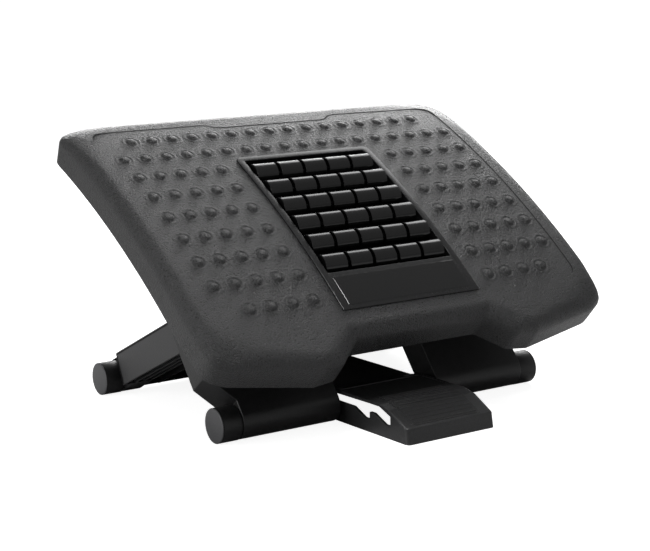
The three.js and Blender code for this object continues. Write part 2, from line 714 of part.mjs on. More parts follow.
// rear leg, drawn flat in the same way
function rearLeg() {
  const sideProfile = (from) => [
    point(from, -REAR_LEG_BOTTOM),
    ...arc(LEG_REACH, 0, REAR_LEG_BOTTOM, -Math.PI / 2, Math.PI / 2, EYE_SIDES / 2),
    point(REAR_PLATE_END, REAR_LEG_TOP),
    point(from, REAR_LEG_TOP),
  ];
  const wall = (x0, x1, from) => alongX(sideProfile(from), x0, x1);
  const plateTop = REAR_LEG_TOP;
  const plateBottom = REAR_LEG_TOP - LEG_WALL;
  const pieces = [
    block(-REAR_LEG_HALF, REAR_LEG_HALF, REAR_WIDE_START, REAR_PLATE_END, plateBottom, plateTop),
    block(-FOOT_HALF, FOOT_HALF, REAR_PLATE_FOOT, REAR_WIDE_START + SINK, plateBottom, plateTop),
    wall(REAR_LEG_HALF - LEG_WALL, REAR_LEG_HALF, REAR_WIDE_START),
    wall(-REAR_LEG_HALF, -REAR_LEG_HALF + LEG_WALL, REAR_WIDE_START),
  ];
  REAR_RIB_XS.forEach((x) => {
    pieces.push(wall(x - LEG_WALL / 2, x + LEG_WALL / 2, 0));
    pieces.push(wall(-x - LEG_WALL / 2, -x + LEG_WALL / 2, 0));
  });
  // square shoulders where the wide part starts
  [1, -1].forEach((side) => {
    const inner = REAR_LUG_INNER * side;
    const outer = REAR_LEG_HALF * side;
    pieces.push(
      block(
        Math.min(inner, outer),
        Math.max(inner, outer),
        REAR_WIDE_START,
        REAR_WIDE_START + LEG_WALL,
        -REAR_LEG_BOTTOM,
        plateTop,
      ),
    );
    const lugOuter = FOOT_HALF * side;
    pieces.push(
      alongX(
        [
          ...arc(0, 0, FOOT_RADIUS - FIT, Math.PI / 2, (Math.PI * 3) / 2, EYE_SIDES / 2),
          point(REAR_WIDE_START + SINK, -REAR_LEG_BOTTOM),
          point(REAR_WIDE_START + SINK, plateTop),
          point(REAR_PLATE_FOOT, plateTop),
        ],
        Math.min(inner, lugOuter),
        Math.max(inner, lugOuter),
      ),
    );
  });
  const ribFoot = alongX(
    arc(0, 0, REAR_NOSE_RADIUS, 0, Math.PI * 2, EYE_SIDES).slice(0, EYE_SIDES),
    -LEG_WALL / 2,
    LEG_WALL / 2,
  );
  // long ribs over the foot lugs, and the rolled lower edge between lug and pedal
  const innerNose = REAR_NOSE_RADIUS - LEG_WALL;
  const noseIn = REAR_PLATE_FOOT + LEG_WALL;
  const noseOutline = [
    point(noseIn, plateBottom + SINK),
    point(REAR_PLATE_FOOT, plateBottom + SINK),
    ...arc(0, 0, REAR_NOSE_RADIUS, Math.acos(REAR_PLATE_FOOT / REAR_NOSE_RADIUS), NOSE_END, EYE_SIDES / 2),
    ...arc(0, 0, innerNose, NOSE_END, Math.acos(noseIn / innerNose), EYE_SIDES / 2),
  ];
  const noseOuter = REAR_LUG_INNER + SINK;
  pieces.push(alongX(noseOutline, PEDAL_BAY_HALF, noseOuter));
  pieces.push(alongX(noseOutline, -noseOuter, -PEDAL_BAY_HALF));
  for (let k = 0; k < REAR_SIDE_RIBS; k += 1) {
    const x = REAR_LUG_INNER + ((REAR_LUG - LEG_WALL) * k) / (REAR_SIDE_RIBS - 1);
    pieces.push(wall(x, x + LEG_WALL, REAR_WIDE_START));
    pieces.push(wall(-x - LEG_WALL, -x, REAR_WIDE_START));
  }
  REAR_RIB_XS.forEach((x) => {
    pieces.push(ribFoot.translate([x, 0, 0]));
    pieces.push(ribFoot.translate([-x, 0, 0]));
  });
  let leg = union(pieces);
  leg = leg.subtract(
    block(
      -PEDAL_BAY_HALF,
      PEDAL_BAY_HALF,
      REAR_PLATE_FOOT - OVERRUN,
      REAR_WIDE_START,
      plateBottom - OVERRUN,
      plateTop + OVERRUN,
    ),
  );
  const reach = REAR_LEG_HALF + OVERRUN;
  leg = leg.subtract(rodX(HINGE_PIN_RADIUS + FIT, -reach, reach, LEG_REACH, 0, EYE_SIDES));
  leg = leg.subtract(rodX(ROD_RADIUS + FIT, -reach, reach, 0, 0, ROD_SIDES));
  return standRearLeg(leg);
}

// feet, rods and pins
function footSleeve() {
  // drawn on the right, from the leg's side outwards
  const inner = FOOT_HALF + FIT;
  const outer = FOOT_END - CAP_THICK - FIT;
  const bore = ROD_RADIUS + FIT;
  const profile = [
    point(bore, inner),
    point(FOOT_RADIUS, inner),
    point(FOOT_RADIUS, outer),
    point(bore, outer),
    point(bore, inner),
  ];
  return turnedX(profile, FOOT_SIDES);
}

function endCap() {
  const inner = FOOT_END - CAP_THICK;
  const profile = [
    point(0, inner),
    point(FOOT_RADIUS, inner),
    point(FOOT_RADIUS, FOOT_END - CAP_EDGE),
    point(FOOT_RADIUS - CAP_EDGE, FOOT_END),
    point(0, FOOT_END),
  ];
  return turnedX(profile, FOOT_SIDES);
}

function hingePin(from, to) {
  // headed at its outer end
  const profile = [
    point(0, from),
    point(HINGE_PIN_RADIUS, from),
    point(HINGE_PIN_RADIUS, to),
    point(PIN_HEAD_RADIUS, to),
    point(PIN_HEAD_RADIUS, to + PIN_HEAD),
    point(0, to + PIN_HEAD),
  ];
  return turnedX(profile, EYE_SIDES);
}

// pedal
const PEDAL_PROFILE = [
  point(PEDAL_TOE_Y, 0),
  point(PEDAL_TOE_TOP_Y, PEDAL_TOE_HEIGHT),
  point(PEDAL_BROW_Y, PEDAL_BROW_HEIGHT),
  point(PEDAL_FLAT_Y, PEDAL_FLAT_HEIGHT),
  point(PEDAL_CREASE_Y, PEDAL_CREASE_HEIGHT),
  point(PEDAL_CHANNEL_Y, PEDAL_CHANNEL_HEIGHT),
  point(REAR_FOOT_Y, PEDAL_CHANNEL_HEIGHT),
];

// the slot's outline: one notch for each setting, vertical ahead, a ramp behind
function slotOutline() {
  const notch = (step, plateau) => {
    const y = FRONT_FOOT_Y - step;
    return [
      point(y - NOTCH_FACE, plateau),
      point(y - NOTCH_FACE, NOTCH_FLOOR),
      point(y + NOTCH_RAMP_START, NOTCH_FLOOR),
      point(y + NOTCH_RAMP_START + NOTCH_RAMP, SLOT_PLATEAU),
    ];
  };
  const rear = FRONT_FOOT_Y;
  return [
    ...notch(NOTCH_STEP_3, SLOT_PLATEAU),
    ...notch(NOTCH_STEP_2, SLOT_PLATEAU),
    point(rear - NOTCH_FACE, SLOT_PLATEAU),
    point(rear - NOTCH_FACE, NOTCH_FLOOR),
    point(rear + NOTCH_FACE, NOTCH_FLOOR),
    point(rear + NOTCH_FACE, SLOT_TOP),
    point(PEDAL_FLAT_Y, SLOT_TOP),
    point(FRONT_FOOT_Y - NOTCH_STEP_3 - NOTCH_FACE, SLOT_PLATEAU + SLOT_FRONT_RISE),
  ];
}

function pedal() {
  const wallY = PEDAL_EYE_RADIUS;
  const eye = arc(REAR_FOOT.x, REAR_FOOT.y, PEDAL_EYE_RADIUS, -Math.PI / 2, Math.PI / 2, EYE_SIDES / 2);
  const outline = [
    PEDAL_PROFILE[0],
    point(REAR_FOOT_Y - wallY * 2, 0),
    ...eye,
    point(REAR_FOOT_Y - wallY, PEDAL_CHANNEL_HEIGHT),
    ...PEDAL_PROFILE.slice(1, -1).reverse(),
  ];
  let body = alongX(outline, PEDAL_LEFT, PEDAL_RIGHT);
  // rounded vertical corners at the toe
  const plan = rounded(
    [
      { x: PEDAL_LEFT, y: PEDAL_TOE_Y, r: PEDAL_TOE_CORNER },
      { x: PEDAL_RIGHT, y: PEDAL_TOE_Y, r: PEDAL_TOE_CORNER },
      { x: PEDAL_RIGHT, y: REAR_FOOT_Y + FOOT_RADIUS * 2 },
      { x: PEDAL_LEFT, y: REAR_FOOT_Y + FOOT_RADIUS * 2 },
    ],
    CORNER_STEPS,
  );
  body = body.intersect(alongZ(plan, -OVERRUN, PEDAL_CREASE_HEIGHT + OVERRUN));
  // hollow from below
  const roof = PEDAL_PROFILE.slice(1, -1).map((p) => point(p.x, p.y - PEDAL_TOP_WALL));
  roof[0] = point(PEDAL_TOE_TOP_Y + PEDAL_WALL, PEDAL_TOE_HEIGHT - PEDAL_TOP_WALL);
  const hollowOutline = [
    point(PEDAL_TOE_Y + PEDAL_WALL, -OVERRUN),
    point(REAR_FOOT_Y + FOOT_RADIUS * 2, -OVERRUN),
    point(REAR_FOOT_Y + FOOT_RADIUS * 2, PEDAL_CHANNEL_HEIGHT - PEDAL_TOP_WALL),
    ...roof.slice().reverse(),
  ];
  const hollow = alongX(hollowOutline, PEDAL_LEFT + PEDAL_WALL, PEDAL_RIGHT - PEDAL_WALL);
  body = body.subtract(hollow);
  body = body.subtract(alongX(slotOutline(), PEDAL_LEFT - OVERRUN, PEDAL_RIGHT + OVERRUN));
  body = body.subtract(
    rodX(ROD_RADIUS + FIT, PEDAL_LEFT - OVERRUN, PEDAL_RIGHT + OVERRUN, REAR_FOOT.x, REAR_FOOT.y, ROD_SIDES),
  );
  body = body.subtract(
    block(
      PEDAL_LEFT + FIELD_MARGIN,
      PEDAL_RIGHT - FIELD_MARGIN,
      FIELD_FRONT_Y,
      FIELD_REAR_Y,
      FIELD_HEIGHT,
      PEDAL_CREASE_HEIGHT + OVERRUN,
    ),
  );
  // seat of the tread pad
  return body.subtract(treadSolid(FIT, 0, OVERRUN));
}

// height of the pedal's top at a place
function pedalTop(y) {
  const next = PEDAL_PROFILE.findIndex((p) => p.x >= y);
  const [from, to] = [PEDAL_PROFILE[next - 1], PEDAL_PROFILE[next]];
  return THREE.MathUtils.mapLinear(y, from.x, to.x, from.y, to.y);
}

// the tread pad follows the pedal's top over the brow; grow widens it to cut its own seat
function treadSolid(grow, ribs, above) {
  const x0 = PEDAL_LEFT + TREAD_MARGIN_LEFT - grow;
  const x1 = PEDAL_RIGHT - TREAD_MARGIN_RIGHT + grow;
  const [front, rear] = [TREAD_FRONT_Y - grow, TREAD_REAR_Y + grow];
  const line = [front, PEDAL_BROW_Y, PEDAL_FLAT_Y, rear].map((y) => point(y, pedalTop(y)));
  const upper = line.map((p) => point(p.x, p.y + above));
  const lower = line.map((p) => point(p.x, p.y - TREAD_SINK - grow));
  let pad = alongX([...lower, ...upper.reverse()], x0, x1);
  const plan = rounded(
    [
      { x: x0, y: front, r: TREAD_CORNER },
      { x: x1, y: front, r: TREAD_CORNER },
      { x: x1, y: rear },
      { x: x0, y: rear },
    ],
    2,
  );
  pad = pad.intersect(alongZ(plan, 0, PEDAL_CREASE_HEIGHT + OVERRUN * 2));
  const pitch = (TREAD_REAR_Y - TREAD_FRONT_Y) / TREAD_RIBS;
  for (let k = 0; k < ribs; k += 1) {
    const middle = TREAD_FRONT_Y + (k + 1 / 2) * pitch;
    const ends = [middle - TREAD_RIB_WIDTH / 2, middle + TREAD_RIB_WIDTH / 2];
    const foot = ends.map((y) => point(y, pedalTop(y)));
    const crest = ends.map((y) => point(y, pedalTop(y) + TREAD_RISE + TREAD_RIB));
    pad = pad.add(alongX([...foot, ...crest.reverse()], x0 + TREAD_RIB_END, x1 - TREAD_RIB_END));
  }
  return pad;
}

// assembly
const footrest = new THREE.Group();

function add(name, solid, look) {
  const mesh = new THREE.Mesh(geometryOf(solid), new THREE.MeshStandardMaterial(look));
  mesh.name = name;
  footrest.add(mesh);
  return mesh;
}

const BOARD_LOOK = { color: 0x4e4e50, roughness: 0.62, metalness: 0 };
const LEG_LOOK = { color: 0x2a2a2b, roughness: 0.6, metalness: 0 };
const FOOT_LOOK = { color: 0x1c1c1d, roughness: 0.75, metalness: 0 };
const CAP_LOOK = { color: 0x5c5c5e, roughness: 0.6, metalness: 0 };
const ROLLER_LOOK = { color: 0x0c0c0d, roughness: 0.22, metalness: 0 };
const FRAME_LOOK = { color: 0x1a1a1b, roughness: 0.45, metalness: 0 };
const PEDAL_LOOK = { color: 0x3a3a3c, roughness: 0.6, metalness: 0 };
const TREAD_LOOK = { color: 0x222223, roughness: 0.8, metalness: 0 };
const STEEL_LOOK = { color: 0x8c8c90, roughness: 0.35, metalness: 1 };

add('board_shell', boardShell(), BOARD_LOOK);
add('roller_frame', rollerFrame(), FRAME_LOOK);
add('cover_panel', coverPanel(), ROLLER_LOOK);

const oneRoller = geometryOf(roller());
for (let row = 0; row < ROLLER_ROWS; row += 1) {
  const at = axleAt(row);
  const axle = rodX(AXLE_RADIUS, -AXLE_HALF, AXLE_HALF, at.y, at.z, AXLE_SIDES);
  add(`roller_axle_${row + 1}`, axle, STEEL_LOOK);
  for (let place = 0; place < ROLLERS_PER_ROW; place += 1) {
    const mesh = new THREE.Mesh(oneRoller.clone(), new THREE.MeshStandardMaterial(ROLLER_LOOK));
    mesh.name = `roller_${row + 1}_${place + 1}`;
    const x = (place - (ROLLERS_PER_ROW - 1) / 2) * ROLLER_PITCH_X;
    mesh.position.set(x, at.y, at.z);
    footrest.add(mesh);
  }
}

add('front_leg', frontLeg(), LEG_LOOK);
add('rear_leg', rearLeg(), LEG_LOOK);

const sides = [
  { name: 'left', sign: -1 },
  { name: 'right', sign: 1 },
];
const ends = [
  { name: 'front', foot: FRONT_FOOT },
  { name: 'rear', foot: REAR_FOOT },
];
const sleeve = footSleeve();
const cap = endCap();
ends.forEach((end) => {
  sides.forEach((side) => {
    const spin = side.sign < 0 ? 180 : 0;
    const placed = (solid) => solid.rotate([0, 0, spin]).translate([0, end.foot.x, end.foot.y]);
    add(`${end.name}_foot_${side.name}`, placed(sleeve), FOOT_LOOK);
    add(`${end.name}_foot_cap_${side.name}`, placed(cap), CAP_LOOK);
  });
});

const footRod = (from, to, foot) => rodX(ROD_RADIUS, from, to, foot.x, foot.y, ROD_SIDES);
add('rear_foot_rod', footRod(-ROD_END, ROD_END, REAR_FOOT), STEEL_LOOK);
add('lock_rod_left', footRod(-ROD_END, PEDAL_LEFT - FIT, FRONT_FOOT), STEEL_LOOK);
add('lock_rod_right', footRod(PEDAL_RIGHT + FIT, ROD_END, FRONT_FOOT), STEEL_LOOK);

const frontPinHalf = REAR_LEG_HALF - PIN_HEAD - FIT;
add(
  'front_hinge_rod',
  rodX(HINGE_PIN_RADIUS, -frontPinHalf, frontPinHalf, FRONT_HINGE.x, FRONT_HINGE.y, EYE_SIDES),
  STEEL_LOOK,
);
sides.forEach((side) => {
  const from = FRONT_LEG_HALF - ARM_THICK + FIT;
  const to = FRONT_LEG_HALF + LUG_THICK + FIT * 3;
  const spin = side.sign < 0 ? 180 : 0;
  const pin = hingePin(from, to).rotate([0, 0, spin]).translate([0, REAR_HINGE.x, REAR_HINGE.y]);
  add(`rear_hinge_pin_${side.name}`, pin, STEEL_LOOK);
});

add('pedal', pedal(), PEDAL_LOOK);
add('pedal_tread', treadSolid(0, TREAD_RIBS, TREAD_RISE), TREAD_LOOK);

export default footrest;
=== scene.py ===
import math

import bpy
import numpy as np
from mathutils import Matrix, Vector
from mathutils.geometry import tessellate_polygon


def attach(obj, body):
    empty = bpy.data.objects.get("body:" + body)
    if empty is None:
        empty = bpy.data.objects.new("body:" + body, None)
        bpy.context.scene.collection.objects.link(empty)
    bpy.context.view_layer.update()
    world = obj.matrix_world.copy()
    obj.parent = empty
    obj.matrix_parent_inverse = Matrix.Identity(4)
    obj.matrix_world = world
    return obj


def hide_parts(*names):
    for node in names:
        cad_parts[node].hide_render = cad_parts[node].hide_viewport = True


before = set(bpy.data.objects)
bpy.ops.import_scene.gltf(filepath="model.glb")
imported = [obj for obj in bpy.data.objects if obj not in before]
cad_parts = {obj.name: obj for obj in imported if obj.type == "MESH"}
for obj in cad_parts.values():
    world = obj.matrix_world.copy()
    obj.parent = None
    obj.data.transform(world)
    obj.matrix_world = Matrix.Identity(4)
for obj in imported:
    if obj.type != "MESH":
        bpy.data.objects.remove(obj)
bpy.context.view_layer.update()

# camera, floor and light
# The footrest stands on a pale studio floor, seen from its left front a little above the board.
# A small soft box hangs in front of it, a large one stands behind its right side, and two low
# ones light its left side and its back.
MM = 0.001
CAMERA_AT = Vector((-894.47, -1313.70, 408.11)) * MM
view_yaw = math.radians(33.773)
view_pitch = math.radians(10.202)
view_roll = math.radians(-1.384)
level_share = math.cos(view_pitch)
ahead_x, ahead_y = math.sin(view_yaw) * level_share, math.cos(view_yaw) * level_share
ahead = Vector((ahead_x, ahead_y, -math.sin(view_pitch)))
level_right = Vector((math.cos(view_yaw), -math.sin(view_yaw), 0))
level_up = level_right.cross(ahead)
camera_right = math.cos(view_roll) * level_right + math.sin(view_roll) * level_up
camera_up = -math.sin(view_roll) * level_right + math.cos(view_roll) * level_up
camera_data = bpy.data.cameras.new("studio_camera")
camera_data.sensor_width = 36
camera_data.lens = 92.265
camera_data.clip_end = 200
camera = bpy.data.objects.new("studio_camera", camera_data)
turn = Matrix((camera_right, camera_up, -ahead)).transposed().to_4x4()
camera.matrix_world = Matrix.Translation(CAMERA_AT) @ turn
bpy.context.scene.collection.objects.link(camera)
bpy.context.scene.camera = camera


def soft_box(name, place, target, size, power):
    """A rectangular area light at place, turned to face target; metres and watts."""
    data = bpy.data.lights.new(name, "AREA")
    data.shape = "RECTANGLE"
    data.size, data.size_y = size
    data.energy = power
    box = bpy.data.objects.new(name, data)
    box.location = place
    box.rotation_euler = (Vector(target) - Vector(place)).to_track_quat("-Z", "Y").to_euler()
    bpy.context.scene.collection.objects.link(box)


soft_box("light_over", (-0.2, -0.5, 1.9), (0, 0, 0.1), (0.35, 0.35), 15)
soft_box("light_back_right", (1.15, 1.15, 1.35), (0, 0, 0.2), (1.3, 1.0), 11)
soft_box("light_left", (-2.0, 0.3, 0.45), (0, 0, 0.1), (1.0, 0.7), 14)
soft_box("light_rear", (1.25, 1.9, 0.9), (0, 0, 0.2), (2.0, 0.45), 24)

# the room is white to the camera and much dimmer to the object
DIFFUSE_ROOM, GLOSSY_ROOM = 0.2, 0.32
world = bpy.data.worlds.new("studio_room")
world.use_nodes = True
room = world.node_tree
room.nodes["Background"].inputs["Color"].default_value = (1, 1, 1, 1)
seen = room.nodes.new("ShaderNodeLightPath")
gloss_level = room.nodes.new("ShaderNodeMapRange")
gloss_level.inputs["To Min"].default_value = DIFFUSE_ROOM
gloss_level.inputs["To Max"].default_value = GLOSSY_ROOM
room_level = room.nodes.new("ShaderNodeMath")
room_level.operation = "MAXIMUM"
room.links.new(seen.outputs["Is Glossy Ray"], gloss_level.inputs["Value"])
room.links.new(gloss_level.outputs["Result"], room_level.inputs[0])
room.links.new(seen.outputs["Is Camera Ray"], room_level.inputs[1])
room.links.new(room_level.outputs[0], room.nodes["Background"].inputs["Strength"])
bpy.context.scene.world = world
bpy.context.scene.view_settings.view_transform = "Standard"


def sheet(grid, closed_u=False, closed_v=False, caps=False):
    """Points, quads and triangles over a grid of points, grid[u][v] = (x, y, z).

    A closed side joins its last row to its first. Caps close the first and the last row by a fan
    of triangles from its first point."""
    count_u, count_v = grid.shape[:2]
    u = np.arange(count_u if closed_u else count_u - 1)[:, None]
    v = np.arange(count_v if closed_v else count_v - 1)[None, :]
    next_u, next_v = (u + 1) % count_u, (v + 1) % count_v
    corners = [u * count_v + v, next_u * count_v + v, next_u * count_v + next_v, u * count_v + next_v]
    quads = np.stack(corners, -1).reshape(-1, 4)
    triangles = np.empty((0, 3), int)
    if caps:
        i = np.arange(1, count_v - 1)
        first_fan = np.column_stack([0 * i, i, i + 1])
        last_fan = np.column_stack([0 * i, i + 1, i]) + (count_u - 1) * count_v
        triangles = np.vstack([first_fan, last_fan])
    return grid.reshape(-1, 3), quads, triangles


def mesh_of(name, shapes):
    """One mesh of several closed shapes, all of them with outward faces.

    A shape whose volume, the sum of a . (b x c) over its triangles, is negative is turned over."""
    points, faces, shift = [], [], 0
    for xyz, quads, triangles in shapes:
        corners = np.vstack([quads[:, [0, 1, 2]], quads[:, [0, 2, 3]], triangles])
        if np.sum(xyz[corners[:, 0]] * np.cross(xyz[corners[:, 1]], xyz[corners[:, 2]])) < 0:
            quads, triangles = quads[:, ::-1], triangles[:, ::-1]
        points.append(xyz)
        faces += (quads + shift).tolist() + (triangles + shift).tolist()
        shift += len(xyz)
    mesh = bpy.data.meshes.new(name)
    mesh.from_pydata(np.vstack(points).tolist(), [], faces)
    return mesh


FLOOR_REACH = 60
FLOOR_GLOW = 0.9
floor_line = np.linspace(-FLOOR_REACH, FLOOR_REACH, 13)
floor_points = np.stack(np.broadcast_arrays(floor_line[:, None], floor_line[None, :], 0.0), -1)
floor_mesh = bpy.data.meshes.new("studio_floor")
floor_xyz, floor_quads, _ = sheet(floor_points)
floor_mesh.from_pydata(floor_xyz.tolist(), [], floor_quads.tolist())
floor = bpy.data.objects.new("studio_floor", floor_mesh)
bpy.context.scene.collection.objects.link(floor)
floor_paint = bpy.data.materials.new("studio_floor_paint")
floor_paint.use_nodes = True
floor_tree = floor_paint.node_tree
floor_shader = floor_tree.nodes["Principled BSDF"]
floor_shader.inputs["Base Color"].default_value = (0.75, 0.75, 0.75, 1)
floor_shader.inputs["Roughness"].default_value = 0.9
floor_shader.inputs["Emission Color"].default_value = (1, 1, 1, 1)
floor_seen = floor_tree.nodes.new("ShaderNodeLightPath")
floor_glow = floor_tree.nodes.new("ShaderNodeMath")
floor_glow.operation = "MULTIPLY"
floor_glow.inputs[1].default_value = FLOOR_GLOW
floor_tree.links.new(floor_seen.outputs["Is Camera Ray"], floor_glow.inputs[0])
floor_tree.links.new(floor_glow.outputs[0], floor_shader.inputs["Emission Strength"])
floor_mesh.materials.append(floor_paint)

# board
# The board is one injection moulding in dark grey polypropylene, with a spark-eroded grain.
# Its top is part of a cylinder; the edge rolls over into a skirt, and the front edge has a
# recess that leaves room for the pedal. Rows of massage bumps are moulded into the top.
ARC_RADIUS = 947.0
MID_TILT = math.radians(32.1)
MID_Y, MID_Z = -6.55, 198.1
ARC_Y = MID_Y + ARC_RADIUS * math.sin(MID_TILT)
ARC_Z = MID_Z - ARC_RADIUS * math.cos(MID_TILT)
BOARD_HALF, BOARD_REAR = 225.0, 167.5
RECESS_HALF, RECESS_FRONT, RECESS_CORNER = 72.0, -166.5, 6.6
WING_INNER, WING_FRONT, WING_CORNER = 97.8, -190.0, 13.2
NOSE_X, NOSE_FRONT = 121.15, -193.0
WING_OUTER, WING_OUTER_FRONT = 203.8, -176.5
SIDE_IN, SIDE_START, SIDE_END = 4.0, -167.0, -125.0
FRONT_CORNER, SIDE_BEND, REAR_CORNER = 26.4, 79.0, 20.0
CORNER_EASE, CORNER_SPREAD = 5.0, 2.4
SKIRT, ROLL, WALL = 34.0, 13.2, 3.0
SKIRT_EDGE, SKIRT_MID = 0.5, 0.7
ROLL_FLATTENING = 0.15
CUT_OUT_MIDDLE, CUT_OUT_HALF = np.array([0.0, -31.4]), np.array([76.3, 107.2])


def on_board(x, s, n):
    """Metres from board measures: x across, s along the curved top from its middle, n above the top."""
    slope = MID_TILT - s / ARC_RADIUS
    y = ARC_Y - (ARC_RADIUS + n) * np.sin(slope)
    z = ARC_Z + (ARC_RADIUS + n) * np.cos(slope)
    return np.stack(np.broadcast_arrays(x, y, z), -1) * MM


def rounded_outline(corners, steps, side_steps=1):
    """Corners (x, y, r): each becomes a parabola from r / tan(half angle) before it to as far behind it.

    The straight side after each corner is cut into side_steps equal steps."""
    corners = np.array(corners, float)
    here = corners[:, :2]
    back, fore = np.roll(here, 1, 0) - here, np.roll(here, -1, 0) - here
    length_back, length_fore = np.linalg.norm(back, axis=1), np.linalg.norm(fore, axis=1)
    back, fore = back / length_back[:, None], fore / length_fore[:, None]
    half = np.arccos(np.clip((back * fore).sum(1), -1, 1)) / 2
    reach = np.minimum(corners[:, 2] / np.tan(half), np.minimum(length_back, length_fore) * 0.495)
    t = np.linspace(0, 1, steps + 1)[None, :, None]
    start, end = here + back * reach[:, None], here + fore * reach[:, None]
    bends = start[:, None] * (1 - t) ** 2 + here[:, None] * 2 * t * (1 - t) + end[:, None] * t**2
    t = (np.arange(1, side_steps) / side_steps)[None, :, None]
    sides = end[:, None] * (1 - t) + np.roll(start, -1, 0)[:, None] * t
    return np.concatenate([bends, sides], axis=1).reshape(-1, 2)


def board_ring(inset, n):
    """The board's plan in board measures, shrunk by inset, at height n.

    Its outer corners grow rounder as it shrinks."""
    half, ease = BOARD_HALF - inset, inset * CORNER_EASE
    right = [
        (RECESS_HALF + inset, RECESS_FRONT + inset, RECESS_CORNER),
        (WING_INNER + inset, WING_FRONT + inset, WING_CORNER),
        (NOSE_X, NOSE_FRONT + inset, WING_CORNER),
        (WING_OUTER - inset * CORNER_SPREAD, WING_OUTER_FRONT + inset, FRONT_CORNER + ease),
        (half - SIDE_IN, SIDE_START + inset * CORNER_SPREAD, FRONT_CORNER + ease),
        (half, SIDE_END, SIDE_BEND),
        (half, BOARD_REAR - inset, REAR_CORNER + ease),
    ]
    left = [(-x, y, r) for x, y, r in reversed(right)]
    outline = rounded_outline(right + left, 10, 24)
    return np.column_stack([outline, np.full(len(outline), n)])


def towards_cut_out(ring, share):
    """A ring moved by share along rays from the middle of the roller frame's cut-out to its edge."""
    ray = ring[:, :2] - CUT_OUT_MIDDLE
    goal = CUT_OUT_MIDDLE + ray / np.max(np.abs(ray) / CUT_OUT_HALF, axis=1)[:, None]
    return np.column_stack([ring[:, :2] * (1 - share) + goal * share, ring[:, 2]])


def rolled_ring(inset, n, radius, angle):
    """The board's ring at an angle round a quarter circle that starts at inset and ends at height n."""
    return board_ring(inset + radius * (1 - math.cos(angle)), n - radius * (1 - math.sin(angle)))


# outer skin: the skirt's lower edge, then the roll, a hair flatter than a quarter circle, and the top
edge_turn = np.linspace(0, math.pi / 2, 8)
skirt_outside = [(SKIRT_EDGE, -SKIRT), (0.0, -SKIRT + SKIRT_EDGE), (0.0, -SKIRT * SKIRT_MID)]
rings = [board_ring(inset, n) for inset, n in skirt_outside]
rings += [rolled_ring(0, -ROLL_FLATTENING * math.sin(2 * a), ROLL, a) for a in edge_turn]
top_edge = rings[-1]
rings += [towards_cut_out(top_edge, share) for share in np.linspace(0, 1, 18)[1:]]
# inner skin, one wall inside the outer one
under_rings = [rolled_ring(WALL, -WALL, ROLL - WALL, a) for a in edge_turn[::-1]]
rings += [towards_cut_out(under_rings[0], share) for share in np.linspace(1, 0, 14)[:-1]]
rings += under_rings
skirt_inside = [(WALL, -SKIRT * SKIRT_MID), (WALL, -SKIRT + SKIRT_EDGE), (WALL - SKIRT_EDGE, -SKIRT)]
rings += [board_ring(inset, n) for inset, n in skirt_inside]
shell = on_board(*np.moveaxis(np.stack(rings), -1, 0))
board_shapes = [sheet(shell, closed_u=True, closed_v=True)]

# a massage bump: a shallow outer slope, a steep dish and a nub, swung round the top's normal
bump_radius = np.array([10.7, 10.9, 9.6, 8.4, 7.6, 6.9, 6.2, 5.4, 4.6, 3.4, 2.0, 0.8])
bump_height = np.array([-0.6, -0.05, 0.15, 0.4, 0.36, 0.1, 0.0, 0.25, 0.95, 1.85, 2.2, 2.3])
BUMP_PITCH_X, BUMP_PITCH_S = 450 / 20.4, 30.71
MIDDLE_COLUMN, MIDDLE_ROW = 9.5, 5
bump_angle = np.linspace(0, 2 * math.pi, 24, endpoint=False)
bump_columns = {1: range(2, 18), 2: range(1, 19), 9: [*range(2, 6), *range(14, 18)]}
bump_columns |= {row: [*range(1, 6), *range(14, 19)] for row in range(3, 9)}
for row, row_columns in bump_columns.items():
    for column in row_columns:
        x = (column - MIDDLE_COLUMN) * BUMP_PITCH_X + bump_radius[:, None] * np.cos(bump_angle)
        s = (MIDDLE_ROW - row) * BUMP_PITCH_S + bump_radius[:, None] * np.sin(bump_angle)
        board_shapes.append(sheet(on_board(x, s, bump_height[:, None]), closed_v=True, caps=True))


